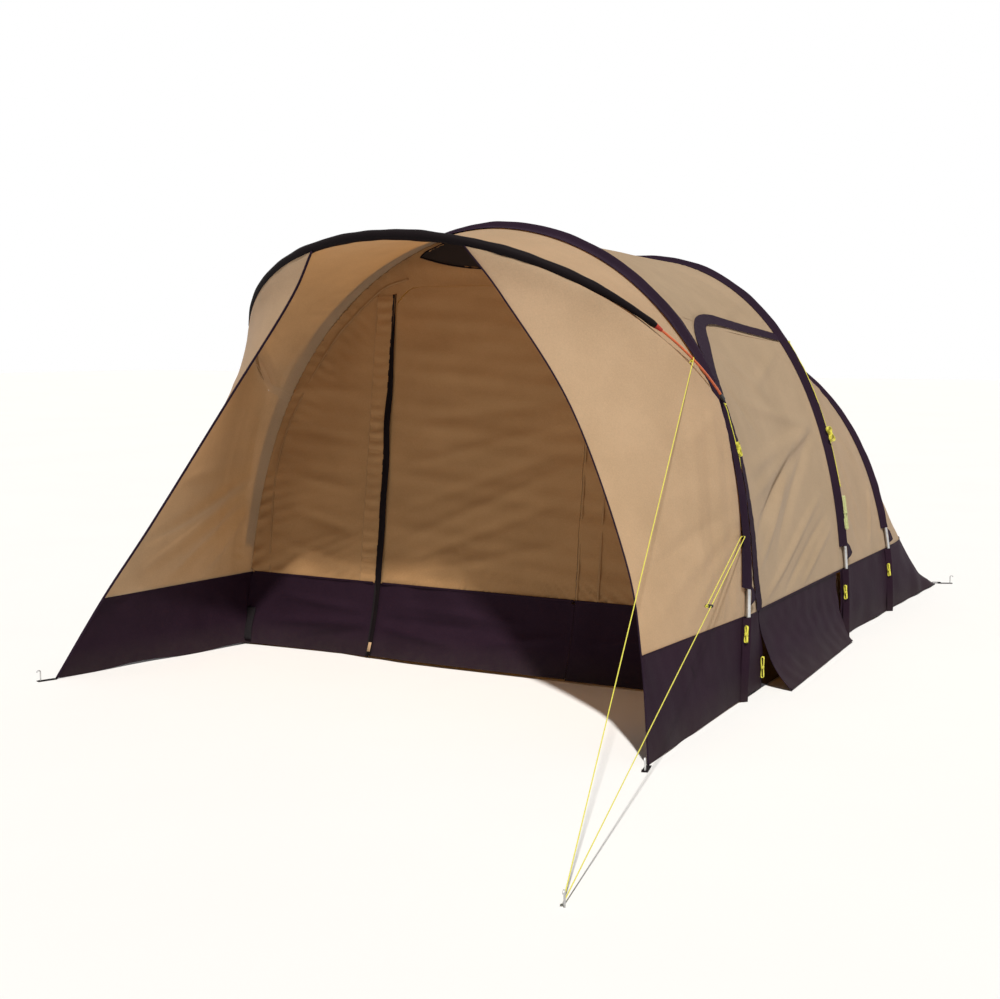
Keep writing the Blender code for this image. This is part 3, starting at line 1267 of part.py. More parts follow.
def build_guy_lines():
    """Two guy lines from the front sleeve's right leg to one peg; the lower is doubled down to its runner."""
    peg_foot = Vector((GUY_PEG_X, FRONT_Y - GUY_PEG_AHEAD, 0))
    row, share = at_height(FRONT, GUY_TAB_HEIGHT)
    track, ways = arch_frames(FRONT), skin_ways(FRONT)
    sections = [sleeve_section(track[i], ways[i], leg_widths(FRONT)) for i in (row, row + 1)]
    lips = [(section[2] + section[3]) / 2 for section in sections]
    up = (lips[1] - lips[0]).normalized()
    lip = lips[0].lerp(lips[1], share)
    fore = (ways[row][0] - up * ways[row][0].dot(up)).normalized()
    out = up.cross(fore).normalized()
    reach_way = fore * math.cos(GUY_TAB_TURN) + out * math.sin(GUY_TAB_TURN)
    face = up.cross(reach_way).normalized()
    turned = Matrix((reach_way, up, face)).transposed().to_4x4()
    place = Matrix.Translation(lip + reach_way * 3 * GAP) @ turned
    tip = GUY_TAB_REACH
    outline = [(0, -GUY_TAB_BELOW), (0.8 * tip, -0.012), (tip, 0), (tip, 0.010), (0.8 * tip, 0.016),
               (0, GUY_TAB_ABOVE)]
    eye_x = tip - TAB_EYE_INSET * GUY_EYE
    plate("guy_tab", outline, GUY_TAB_THICK, place, "sleeve_cloth", [circle(eye_x, TAB_EYE_RISE, GUY_EYE)])

    eye = place @ Vector((eye_x, TAB_EYE_RISE, 0))

    def beside_peg(height, target):
        """Where a straight line from a target ends, just clear of the peg at a height."""
        spot = peg_foot + Vector((0, 0, height))
        way = (target - spot).normalized()
        level = math.hypot(way.x, way.y)
        return spot + way * (PEG_RADIUS + GAP + ROPE / 2 * way.z) / level

    end = beside_peg(LOWER_GUY_END, eye)
    line = (end - eye).normalized()
    side = (face - line * face.dot(line)).normalized()
    spread = side * STRAND_SPACING / 2
    runner = eye + (end - eye) * RUNNER_PLACE
    knot = runner - spread
    past = STRAND_SPACING / 2
    turns = [math.pi * (k / 12 - 0.5) for k in range(13)]
    bend = [eye + (line * (1 - math.cos(a)) + face * math.sin(a)) * past for a in turns]
    there = [knot + line * ROPE / 2, knot - line * 5 * ROPE, bend[0] + line * 10 * ROPE, bend[0] + line * 2 * ROPE]
    back = [bend[-1] + line * 2 * ROPE, bend[-1] + line * 10 * ROPE, runner + spread - line * 8 * ROPE]
    tail = [runner + spread - line * 2 * ROPE, runner + spread + line * 3 * ROPE, end]
    cord("guy_line_lower", there + bend + back + tail)
    turn_runner = Matrix((face.cross(line), side, line)).transposed().to_4x4()
    holes = [circle(0, y, ROPE / 2 + ROPE_PLAY) for y in (-STRAND_SPACING / 2, STRAND_SPACING / 2)]
    plate("guy_runner", stadium(RUNNER_LENGTH, RUNNER_WIDTH), RUNNER_THICK,
          Matrix.Translation(runner) @ turn_runner, "black_plastic", holes)

    rod = rod_line()
    held = min(range(len(rod) - 1), key=lambda k: abs(rod[k].z - UPPER_GUY_HEIGHT))
    centre = rod[held].lerp(rod[held + 1], 0.5)
    axis = (rod[held + 1] - rod[held]).normalized()
    end = beside_peg(UPPER_GUY_END, centre)
    away = end - centre
    away = (away - axis * away.dot(axis)).normalized()
    over = axis.cross(away) if axis.cross(away).z > 0 else away.cross(axis)
    wrap = HOOP_RADIUS + 2 * GAP + ROPE / 2
    route = []
    for k in range(10):
        left = (9 - k) / 9
        a = -GUY_HOOK_TURN * left
        route.append(centre + over * wrap * math.cos(a) + away * wrap * math.sin(a) - axis * ROPE * left)
    cord("guy_line_upper", route + [end])
    peg("guy_peg", peg_foot, Vector((0.3, -0.95, 0)).normalized())


def hank(name, length, width, place):
    plate(name, stadium(length, width), HANK_THICK, place, "rope")


def build_hanks():
    """Spare line, hanked up and hung on the right legs of the arches."""
    lift = 2 * GAP + ROPE / 2
    over_line = 3 * GAP + ROPE + HANK_THICK / 2
    flat = 2 * GAP + HANK_THICK / 2
    widths = leg_widths(FRONT)

    def heights(ends, count):
        return [ends[0] + (ends[1] - ends[0]) * k / (count - 1) for k in range(count)]

    behind = FRONT_HANK_LINE_BEHIND
    route = [on_sleeve(FRONT, z, behind, lift, widths).translation for z in heights(FRONT_HANK_LINE, 16)]
    cord("front_hank_line", route)
    hank("front_hank", *FRONT_HANK_SIZE,
         on_sleeve(FRONT, FRONT_HANK_HEIGHT, FRONT_HANK_BEHIND, over_line, widths))

    cord("middle_hank_line", [on_ridge(MIDDLE, z, lift).translation for z in heights(MIDDLE_HANK_LINE, 42)])
    hank("middle_hank", *MIDDLE_HANK_SIZE, on_ridge(MIDDLE, MIDDLE_HANK_HEIGHT, over_line))
    hank("middle_long_hank", *LONG_HANK_SIZE, on_ridge(MIDDLE, LONG_HANK_HEIGHT, flat))

    pocket = [POCKET_SHARE * SLEEVE_HALF_WIDTH] * 2
    for name, arch, height in zip(("front", "middle", "rear"), (FRONT, MIDDLE, REAR), FOOT_HANK_HEIGHTS):
        hank(f"{name}_foot_hank", *FOOT_HANK_SIZE, on_sleeve(arch, height, -FOOT_HANK_AHEAD, flat, pocket))

    wall = [line[-2:] for line in wing_mud_grid(SKIN_DROP)[:2]]
    low, high = (pair[0].lerp(pair[1], DOOR_HANK_BACK) for pair in wall)
    spot = low.lerp(high, DOOR_HANK_UP)
    back = (wall[0][1] - wall[0][0]).normalized()
    up = (wall[1][0] - wall[0][0]).normalized()
    out = back.cross(up).normalized()
    up = out.cross(back)
    place = Matrix.Translation(spot + out * flat) @ Matrix((back, up, out)).transposed().to_4x4()
    hank("door_foot_hank", *DOOR_HANK_SIZE, place)


def build():
    for old in list(bpy.data.objects):
        bpy.data.objects.remove(old, do_unlink=True)
    build_pole_arch("front", FRONT)
    build_pole_arch("middle", MIDDLE)
    build_pole_arch("rear", REAR)
    build_hoop()
    build_wings()
    build_canopy()
    build_front_wall()
    build_bay_one()
    build_bay_two()
    build_tail()
    build_floor()
    build_inner_tent()
    build_hoop_eyes()
    build_corner_straps()
    build_zip_covers()
    build_zip_slider()
    build_guy_lines()
    build_hanks()


build()
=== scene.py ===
"""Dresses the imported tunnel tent: cloth panels with their folds and seams, lines, fittings, light and camera.

The panels lie on the same surfaces as the CAD panels, worked out again here from the same sizes in metres,
so that they can be finer. The porch faces -Y, and +X is the side that the camera sees.
"""

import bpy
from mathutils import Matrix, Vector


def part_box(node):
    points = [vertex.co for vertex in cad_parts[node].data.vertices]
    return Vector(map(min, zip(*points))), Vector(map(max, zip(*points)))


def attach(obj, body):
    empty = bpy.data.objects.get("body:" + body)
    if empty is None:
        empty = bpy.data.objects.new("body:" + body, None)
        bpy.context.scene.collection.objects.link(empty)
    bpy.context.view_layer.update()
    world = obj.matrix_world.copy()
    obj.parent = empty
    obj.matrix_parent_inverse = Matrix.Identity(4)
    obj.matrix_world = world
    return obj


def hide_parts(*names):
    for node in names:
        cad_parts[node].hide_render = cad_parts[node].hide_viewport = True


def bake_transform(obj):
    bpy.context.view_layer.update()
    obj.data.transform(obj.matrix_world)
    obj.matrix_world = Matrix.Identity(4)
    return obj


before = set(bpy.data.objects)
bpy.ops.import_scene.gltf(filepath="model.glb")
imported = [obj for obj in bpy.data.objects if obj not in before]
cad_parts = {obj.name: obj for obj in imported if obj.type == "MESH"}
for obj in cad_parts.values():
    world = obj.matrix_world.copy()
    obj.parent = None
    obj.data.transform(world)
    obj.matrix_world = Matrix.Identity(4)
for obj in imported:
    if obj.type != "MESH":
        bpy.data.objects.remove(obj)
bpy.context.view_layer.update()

import math
from collections import namedtuple

import bpy
import numpy as np
from mathutils import Vector

# Each arch: half width and height, how square its legs and its roof are, where its feet stand, how far it
# leans back, and the height of the row at which the side doors end.
Arch = namedtuple("Arch", "half_width height legs roof foot_y lean level")
FRONT = Arch(1.45, 2.19, 2.8, 1.85, -2.025, math.radians(7), 1.765)
MIDDLE = Arch(1.305, 2.09, 2.3, 2.3, -0.225, 0.0, 1.61)
REAR = Arch(1.24, 1.62, 2.2, 2.2, 0.755, 0.0, 1.20)
TAIL_Y, TAIL_HALF_WIDTH, TAIL_FALL, TAIL_CROWN = 2.025, 1.18, 1.27, 0.15

SEAM_HEIGHT, SLEEVE_FOOT_HEIGHT, PIVOT_HEIGHT, LOW_ARCH_PIVOT = 0.375, 0.50, 1.29, 0.62
# Rows of the skins, counted from the right foot over the crown to the left foot.
SEAM_ROW, SLEEVE_ROW, PIVOT_ROW, LEVEL_ROW, CROWN_ROW, LAST_ROW = 2, 3, 7, 9, 15, 30

# Insets of the skins and of the front wall from the arches' middle lines.
SKIN, WALL_INSET = 0.0165, 0.0185
POLE_RADIUS, SLEEVE_RADIUS = 0.010, 0.0155
# Reach of the sleeves along the skins, before and behind the pole; the front one widens above its pivots.
SLEEVE_LAP, FRONT_SLEEVE_LAPS, FRONT_SLEEVE_WIDENING, POCKET_LAP = 0.056, (0.064, 0.090), 0.034, 0.0347
NEAR_SEAM = 0.070
SAG_BAY_ONE, SAG_BAY_TWO, SAG_CANOPY, SAG_WING = 0.035, 0.018, 0.033, 0.020
# How far behind the front arch a side door's free edge runs, by its height.
SIDE_DOOR_FRONT = {0.0: 0.31, 0.14: 0.304, SEAM_HEIGHT: 0.20, 0.58: 0.145, 1.0: 0.125, 1.33: 0.106,
                   1.5: 0.106, 1.62: 0.125, 1.70: 0.15, FRONT.level: 0.19}
SIDE_DOOR_HINGE = 0.063
# The zip cover's outer and inner edge round the door's top corner: row, distance behind the front arch.
ZIP_COVER_CORNER = [((7.45, 0.0945), (7.40, 0.150)), ((7.95, 0.100), (7.80, 0.190)),
                    ((8.28, 0.125), (8.15, 0.265)), ((8.52, 0.175), (8.45, 0.345)),
                    ((8.80, 0.270), (8.76, 0.425)), ((9.10, 0.400), (8.95, 0.500)),
                    ((9.38, 0.560), (9.08, 0.610)), ((9.50, 0.735), (9.12, 0.735)),
                    ((9.46, 0.940), (9.11, 0.940)), ((9.40, 1.170), (9.09, 1.170)),
                    ((9.34, 1.400), (9.05, 1.400))]
HINGE_BEND = 0.14
DOOR_PLAY, SEAM_PLAY = 0.002, 0.0004
SEAM_HALF_WIDTH, SEAM_THICKNESS = 0.0055, 0.0018

HOOP_REACH, HOOP_RISE, HOOP_PIVOT_OUT = 1.20, math.radians(41.4), 0.035
HOOP_ROD_START, HOOP_SLEEVE_START = math.radians(4.8), math.radians(29.5)
CANOPY_START, CANOPY_TURNED = math.radians(11), math.radians(48)
WING_TOP_ANGLE = math.radians(71.4)
WING_PIVOT_SHARE, WING_PLANE = 0.085, 0.015
RIM_GAP = 0.006
PORCH_REACH, FRONT_CORNER_HALF_WIDTH = 1.24, 1.572
# The wing's free edge: distance from the middle, distance ahead of the front arch, height.
WING_EDGE = [(0.584, 0.664, 1.798), (0.935, 0.695, 1.334), (1.280, 0.868, 0.735), (1.443, 1.045, SEAM_HEIGHT)]
HOOP_NORMAL = np.array([0, -math.sin(HOOP_RISE), -math.cos(HOOP_RISE)])

ZIP_X, HINGE_X, DOOR_TOP, DOOR_CORNER = -0.590, 0.560, 1.890, 0.140
VENT_HALF_WIDTH, VENT_LOW, VENT_TIP, VENT_HIGH = 0.446, 1.977, 2.045, 2.150

# The heights of the folds in the tables below are multiplied by this.
FOLD_SCALE = 2.1

LEAN_COS, LEAN_SIN = math.cos(FRONT.lean), math.sin(FRONT.lean)
ROPE_DIAMETER, HANK_DIAMETER = 0.004, 0.0026


# Small tools

def unit(vectors):
    return vectors / np.maximum(np.linalg.norm(vectors, axis=-1, keepdims=True), 1e-9)


def length_of(vectors):
    return np.linalg.norm(vectors, axis=-1)


def lerp(a, b, share):
    return a + (b - a) * np.asarray(share)[..., None]


def eased(value):
    value = np.clip(value, 0, 1)
    return value * value * (3 - 2 * value)


def spread(start, end, step):
    """Evenly spaced values with about the given step."""
    return np.linspace(start, end, max(2, int(round(abs(end - start) / step)) + 1))


def mirrored(points):
    return points * np.array([-1.0, 1.0, 1.0])


def run_lengths(line):
    """Distance along a line of points, from its start."""
    return np.concatenate([[0], np.cumsum(length_of(np.diff(line, axis=0)))])


def at_lengths(line, lengths):
    """Points at given distances along a line."""
    runs = run_lengths(line)
    return np.stack([np.interp(lengths, runs, line[:, k]) for k in range(3)], -1)


def smooth_line(points, steps):
    """A smooth curve through points."""
    path = np.array(points, float)
    ends = np.vstack([2 * path[0] - path[1], path, 2 * path[-1] - path[-2]])
    found = []
    for a, b, c, d in zip(ends, ends[1:], ends[2:], ends[3:]):
        for k in range(steps):
            t = k / steps
            found.append(0.5 * (2 * b + (c - a) * t + (2 * a - 5 * b + 4 * c - d) * t * t
                                + (3 * b - a - 3 * c + d) * t ** 3))
    return np.array(found + [path[-1]])


def grid_normals(grid):
    return unit(np.cross(np.gradient(grid, axis=1), np.gradient(grid, axis=0)))


# The tent's surfaces

def angle_at(arch, height):
    return np.arcsin(np.minimum(1.0, np.asarray(height) / arch.height) ** (arch.legs / 2))


def half_rows(arch):
    """Angles of an arch's rows, from its right foot to its crown."""
    pivot = min(PIVOT_HEIGHT, LOW_ARCH_PIVOT * arch.height)
    marks = [(0.0, SEAM_ROW), (SEAM_HEIGHT, 1), (SLEEVE_FOOT_HEIGHT, PIVOT_ROW - SLEEVE_ROW),
             (pivot, LEVEL_ROW - PIVOT_ROW), (arch.level, 0)]
    heights = []
    for (low, steps), (high, _) in zip(marks, marks[1:]):
        heights += [low + (high - low) * n / steps for n in range(steps)]
    legs = list(angle_at(arch, heights + [arch.level]))
    return np.array(legs + list(np.linspace(legs[-1], math.pi / 2, CROWN_ROW - LEVEL_ROW + 1))[1:])


ARCHES = {"front": FRONT, "middle": MIDDLE, "rear": REAR}
HALF_ROWS = {arch: half_rows(arch) for arch in ARCHES.values()}


def angle_of(arch, row):
    """The arch's angle on a row, which need not be whole: even steps in height up the legs."""
    row = np.asarray(row, float)
    low, half = np.minimum(row, LAST_ROW - row), HALF_ROWS[arch]
    heights = arch.height * np.sin(half) ** (2 / arch.legs)
    by_height = angle_at(arch, np.interp(low, range(len(half)), heights))
    angle = np.where(low <= LEVEL_ROW, by_height, np.interp(low, range(len(half)), half))
    return np.where(row > CROWN_ROW, math.pi - angle, angle)


def arch_curve(arch, angle, inset=0.0):
    """Points of an arch, or of one parallel to it inside, and its outward directions."""
    c, s = np.cos(angle), np.maximum(0.0, np.sin(angle))
    x = np.sign(c) * np.abs(c) ** (2 / arch.roof) * arch.half_width
    z = s ** (2 / arch.legs) * arch.height
    nx = arch.roof * np.sign(x) * np.abs(x / arch.half_width) ** (arch.roof - 1) / arch.half_width
    nz = arch.legs * (z / arch.height) ** (arch.legs - 1) / arch.height
    size = np.hypot(nx, nz)
    nx, nz = nx / size, nz / size
    x, z = x - inset * nx, z - inset * nz
    return np.stack([x, arch.foot_y + z * math.tan(arch.lean), z], -1), np.stack([nx, 0 * nx, nz], -1)


def on_arch(arch, row, inset=0.0):
    return arch_curve(arch, angle_of(arch, row), inset)[0]


def arch_track(arch, row):
    """Points along an arch with the outward and the forward directions there."""
    angle, step = angle_of(arch, row), 1e-4
    point, up = arch_curve(arch, angle)
    along = unit(arch_curve(arch, np.minimum(angle + step, math.pi))[0]
                 - arch_curve(arch, np.maximum(angle - step, 0))[0])
    forward = np.broadcast_to(np.array([0, -math.cos(arch.lean), math.sin(arch.lean)]), point.shape)
    out = unit(np.cross(forward, along))
    away = point - np.array([0, 0, arch.height / 2]) - point * np.array([0, 1, 0])
    out = np.where((out * away).sum(-1, keepdims=True) > 0, out, -out)
    return point, out, forward


def sag_share(arch, height):
    rise = np.clip((height - SEAM_HEIGHT) / 0.5, 0, 1)
    roof = np.clip((height - PIVOT_HEIGHT) / (arch.height - PIVOT_HEIGHT), 0, 1)
    return rise * (1 - 0.8 * roof)


def bay(front, rear, sag, row, share, inset):
    """The skin between two arches."""
    angle = angle_of(front, row)
    a, out = arch_curve(front, angle, inset)
    b = on_arch(rear, row, inset)
    near = NEAR_SEAM / length_of(b - a)
    inner = np.clip((share - near) / (1 - 2 * near), 0, 1)
    dip = 4 * sag * sag_share(front, a[..., 2]) * inner * (1 - inner)
    return lerp(a, b, share) - out * dip[..., None]


def bay_one(row, share, sag=SAG_BAY_ONE, inset=SKIN):
    return bay(FRONT, MIDDLE, sag, row, share, inset)


def bay_two(row, share, sag=SAG_BAY_TWO):
    return bay(MIDDLE, REAR, sag, row, share, SKIN)


def bay_one_length(row):
    return length_of(on_arch(MIDDLE, row, SKIN) - on_arch(FRONT, row, SKIN))


def door_station(height):
    """How far behind the front arch a side door's free edge runs."""
    marks, values = (np.array(part) for part in zip(*sorted(SIDE_DOOR_FRONT.items())))
    k = np.clip(np.searchsorted(marks, height) - 1, 0, len(marks) - 2)
    share = eased((height - marks[k]) / (marks[k + 1] - marks[k]))
    return values[k] + (values[k + 1] - values[k]) * share


def door_edges(row):
    """The shares of bay one's length at a side door's free edge and at its hinge edge."""
    row = np.minimum(row, LAST_ROW - np.asarray(row, float))
    length = bay_one_length(row)
    return door_station(on_arch(FRONT, row, SKIN)[..., 2]) / length, 1 - SIDE_DOOR_HINGE / length


def hoop_point(angle):
    pivot = on_arch(FRONT, PIVOT_ROW)
    rise = HOOP_REACH * np.sin(angle)
    return np.stack([(pivot[0] + HOOP_PIVOT_OUT) * np.cos(angle),
                     pivot[1] - rise * math.cos(HOOP_RISE), pivot[2] + rise * math.sin(HOOP_RISE)], -1)


def turned_back(angle):
    return np.clip((angle - CANOPY_START) / (CANOPY_TURNED - CANOPY_START), 0, 1)


def rim_drop(angle):
    return 0.012 + 0.019 * np.minimum(1.0, angle / CANOPY_START)


def below_hoop(angle):
    """The right wing's top edge."""
    under_rim = rim_drop(angle) + RIM_GAP
    drop = under_rim + (0.025 - under_rim) * turned_back(angle)
    return hoop_point(angle) + HOOP_NORMAL * drop[..., None]


def wing_edge():
    """The right wing's free edge: its part beside the mud wall, and its part above."""
    points = [(FRONT_CORNER_HALF_WIDTH, FRONT.foot_y - PORCH_REACH, 0)]
    points += [(x, FRONT.foot_y - ahead, z) for x, ahead, z in reversed(WING_EDGE)]
    line = smooth_line(points + [tuple(below_hoop(np.array(WING_TOP_ANGLE)))], 24)
    k = int(np.argmax(line[:, 2] >= SEAM_HEIGHT - 1e-6))
    return line[:k + 1], line[k:]


EDGE_LOW, EDGE_HIGH = wing_edge()


def wing_net(v, s):
    """The right wing without its slack, stretched between its four edges."""
    top = below_hoop(np.array(WING_TOP_ANGLE))
    leg = on_arch(FRONT, SEAM_ROW + (PIVOT_ROW - SEAM_ROW) * v, SKIN)
    foot, pivot = on_arch(FRONT, np.array([SEAM_ROW, PIVOT_ROW]), SKIN)
    front = at_lengths(EDGE_HIGH, v * run_lengths(EDGE_HIGH)[-1])
    rising = below_hoop(np.maximum(HOOP_ROD_START, WING_TOP_ANGLE * np.maximum(s, WING_PIVOT_SHARE)))
    high = lerp(pivot, rising, np.minimum(1, s / WING_PIVOT_SHARE))
    low = lerp(foot, EDGE_HIGH[0], s)
    level = leg[:, None] + (front - leg)[:, None] * s[None, :, None]
    across = low[None] + (high - low)[None] * v[:, None, None]
    corner = low[None] + (lerp(pivot, top, s) - low)[None] * v[:, None, None]
    return level + across - corner


def wing(v, s):
    """The right wing: v up from the mud wall, s forwards from the arch."""
    v, s, step = np.asarray(v, float), np.asarray(s, float), 1e-3
    along = wing_net(v, np.minimum(1, s + step)) - wing_net(v, np.maximum(0, s - step))
    up = wing_net(np.minimum(1, v + step), s) - wing_net(np.maximum(0, v - step), s)
    inward = np.cross(along, up)
    inward[v == 0, :, 2] = 0
    inward = unit(inward * -np.sign(inward[..., :1]))
    bulge = SAG_WING * np.sin(math.pi * s)[None] * np.sin(math.pi * v)[:, None]
    return wing_net(v, s) + inward * (SKIN - WING_PLANE + bulge)[..., None]


def wing_mud(v, s, behind):
    """The right mud wall of the porch, from its front edge, s = 1, back past the arch to the side door."""
    rows = SEAM_ROW * v
    leg = on_arch(FRONT, rows, SKIN)
    front = at_lengths(EDGE_LOW, v * run_lengths(EDGE_LOW)[-1])
    ahead = leg[:, None] + (front - leg)[:, None] * s[::-1][None, :, None]
    first = door_edges(rows)[0]
    back = bay_one(rows[:, None], first[:, None] * behind[None, :], 0.0)
    return np.concatenate([ahead, back[:, 1:]], 1)


def turned_between(a, b, share):
    """Directions turned from a towards b."""
    angle = np.arccos(np.clip((a * b).sum(-1), -1, 1))[..., None]
    share = share[..., None]
    return (np.sin((1 - share) * angle) * a + np.sin(share * angle) * b) / np.maximum(np.sin(angle), 1e-6)


def canopy(row, s):
    """The porch roof, from the front arch, s = 0, to the hoop."""
    row = np.asarray(row, float)
    share = (row - PIVOT_ROW) / (LAST_ROW - 2 * PIVOT_ROW)
    angle = CANOPY_START + (math.pi - 2 * CANOPY_START) * share
    back_row = np.clip(row, PIVOT_ROW + 0.15, LAST_ROW - PIVOT_ROW - 0.15)
    back = on_arch(FRONT, back_row, SKIN)
    rim = hoop_point(angle)
    from_pivot = np.minimum(angle, math.pi - angle)
    turned = turned_back(from_pivot)
    way = turned_between(np.broadcast_to(HOOP_NORMAL, rim.shape), unit(back - rim), turned)
    rim = rim + way * rim_drop(from_pivot)[..., None]
    inward = np.stack([-np.cos(math.pi * share), 0 * share, -np.sin(math.pi * share)], -1)
    near = (NEAR_SEAM / length_of(rim - back))[:, None]
    inner = np.clip((s[None] - near) / (1 - near), 0, 1)
    bulge = 4 * SAG_CANOPY * np.sin(math.pi * share)[:, None] * inner * (1 - inner)
    return back[:, None] + (rim - back)[:, None] * s[None, :, None] + inward[:, None] * bulge[..., None]


def tail_section(y):
    share = np.clip((y - REAR.foot_y) / (TAIL_Y - REAR.foot_y), 0, 1)
    height = REAR.height * (1 - share) ** TAIL_FALL * (1 + TAIL_CROWN * np.sin(math.pi * share))
    return REAR.half_width + (TAIL_HALF_WIDTH - REAR.half_width) * share, height


def tail_turns(count):
    """Turns of the tail's ribs from +X, with a rib through each rear corner."""
    corner = math.atan2(TAIL_Y - REAR.foot_y - 0.015, TAIL_HALF_WIDTH - 0.015)
    marks = [0, corner, math.pi - corner, math.pi]
    return np.interp(np.linspace(0, 14, count), [0, 4, 10, 14], marks)


def tail(height, turns, inset=SKIN):
    """Level lines round the tail."""
    height, turn = np.meshgrid(height, turns, indexing="ij")
    low, high = np.zeros(height.shape), np.full(height.shape, 5.0)
    for _ in range(40):
        reach = (low + high) / 2
        x, y = reach * np.cos(turn), REAR.foot_y + reach * np.sin(turn)
        half, top = tail_section(y)
        half, top = half - inset, np.maximum(1e-4, top - inset)
        within = np.abs(x / half) ** REAR.roof + (height / top) ** REAR.roof < 1
        within &= y < TAIL_Y - inset
        low, high = np.where(within, reach, low), np.where(within, high, reach)
    return np.stack([low * np.cos(turn), REAR.foot_y + low * np.sin(turn), height], -1)


def on_wall(x, up, out=0.0):
    """A point on the leaning front wall: its place across and up the wall, and its distance before it."""
    x, up = np.broadcast_arrays(np.asarray(x, float), np.asarray(up, float))
    y, z = FRONT.foot_y + up * LEAN_SIN - out * LEAN_COS, up * LEAN_COS + out * LEAN_SIN
    return np.stack([x, y, z], -1)


def wall_rim(first, last):
    """The front wall's rim between two rows of its arch, across and up the wall."""
    rim = on_arch(FRONT, net_rows(first, last, 8), WALL_INSET)
    return np.stack([rim[:, 0], rim[:, 2] / LEAN_COS], -1)


# Folds

def ripple(points, wavelength, height, seed, stretch=(1, 1, 1)):
    """Soft irregular waves all over a panel."""
    count = 9
    draw = np.random.default_rng(seed)
    total = np.zeros(points.shape[:-1])
    for _ in range(count):
        way = unit(draw.normal(size=3)) * np.array(stretch)
        size = wavelength * draw.uniform(0.6, 1.5)
        total += np.sin(points @ way * (2 * math.pi / size) + draw.uniform(0, 2 * math.pi))
    return total * height / math.sqrt(count)


def folds(points, lines):
    """Soft folds along lines: start, end, height, half width; a fold fades to both its ends."""
    total = np.zeros(points.shape[:-1])
    for start, end, height, width in lines:
        height = height * FOLD_SCALE
        start, end = np.asarray(start, float), np.asarray(end, float)
        along = end - start
        share = ((points - start) @ along) / (along @ along)
        inner = np.clip(share, 0, 1)
        away = length_of(points - start - inner[..., None] * along)
        fade = np.sin(math.pi * np.clip(share, 0.0, 1.0)) ** 0.7
        total += height * fade * np.exp(-(away / width) ** 2)
    return total


def fan(centre, ends, height, width, seed):
    """Folds that spread from one place, alternately up and down."""
    draw = np.random.default_rng(seed)
    lines = []
    for k, end in enumerate(ends):
        sign = 1 if k % 2 == 0 else -0.7
        lines.append((centre, end, sign * height * draw.uniform(0.7, 1.2), width * draw.uniform(0.8, 1.3)))
    return lines


def puckers(along, distance, spacing, height, reach, seed):
    """Small gathers beside a seam, dying away from it."""
    draw = np.random.default_rng(seed)
    wave = np.zeros(np.broadcast(along, distance).shape)
    for _ in range(4):
        size = spacing * draw.uniform(0.7, 1.6)
        start, turn = draw.uniform(0, 6.28), draw.uniform(-20, 20)
        wave = wave + np.sin(along * 2 * math.pi / size + start + distance * turn)
    return wave * height / 2 * np.exp(-distance / reach)


# Materials

# A wave texture's scale times its bands' spacing.
THREADS_PER_SCALE = 0.314


class Finish:
    """A procedural material, built node by node."""

    def __init__(self, name):
        self.material = bpy.data.materials.new(name)
        self.material.use_nodes = True
        self.tree = self.material.node_tree
        self.shader = self.tree.nodes["Principled BSDF"]
        self.output = self.tree.nodes["Material Output"]

    def add(self, kind, values=None, links=None, **settings):
        node = self.tree.nodes.new("ShaderNode" + kind)
        for key, value in settings.items():
            setattr(node, key, value)
        for key, value in (values or {}).items():
            node.inputs[key].default_value = value
        for key, source in (links or {}).items():
            self.tree.links.new(source, node.inputs[key])
        return node

    def fill(self, node, inputs):
        """Sets or links a node's inputs: socket, value or source."""
        for socket, value in inputs:
            if isinstance(value, bpy.types.NodeSocket):
                self.tree.links.new(value, node.inputs[socket])
            else:
                node.inputs[socket].default_value = value

    def place(self, kind="Object"):
        return self.add("TexCoord").outputs[kind]

    def noise(self, scale, detail=3.0, roughness=0.55, distortion=0.0):
        values = {"Scale": scale, "Detail": detail, "Roughness": roughness, "Distortion": distortion}
        return self.add("TexNoise", values, {"Vector": self.place()}).outputs["Fac"]

    def ramp(self, source, stops):
        """A colour ramp; a stop that is one number is a grey."""
        node = self.add("ValToRGB", links={"Fac": source})
        ramp = node.color_ramp
        for element, (position, colour) in zip(ramp.elements, stops):
            element.position = position
            element.color = (*np.broadcast_to(colour, 3).tolist(), 1.0)
        return node.outputs["Color"]

    def mixed(self, share, a, b):
        node = self.add("Mix", data_type="RGBA")
        self.fill(node, zip((0, 6, 7), (share, a, b)))
        return node.outputs[2]

    def maths(self, operation, a, b=0.0):
        node = self.add("Math", operation=operation)
        self.fill(node, enumerate((a, b)))
        return node.outputs[0]

    def bump(self, source, strength, distance, under=None):
        links = {"Height": source}
        if under:
            links["Normal"] = under
        node = self.add("Bump", {"Strength": strength, "Distance": distance}, links)
        return node.outputs["Normal"]

    def set(self, **values):
        for key, value in values.items():
            self.shader.inputs[key.replace("_", " ")].default_value = value

    def link(self, key, source):
        self.tree.links.new(source, self.shader.inputs[key])


def weave(finish, pitch):
    """Warp and weft threads, across the UVs, which are in metres."""
    where = finish.place("UV")
    values = {"Scale": THREADS_PER_SCALE / pitch, "Distortion": 0.6, "Detail": 1.0, "Detail Scale": 2.0}
    threads = [finish.add("TexWave", values, {"Vector": where}, bands_direction=direction).outputs["Fac"]
               for direction in ("X", "Y")]
    return finish.maths("MAXIMUM", *threads)


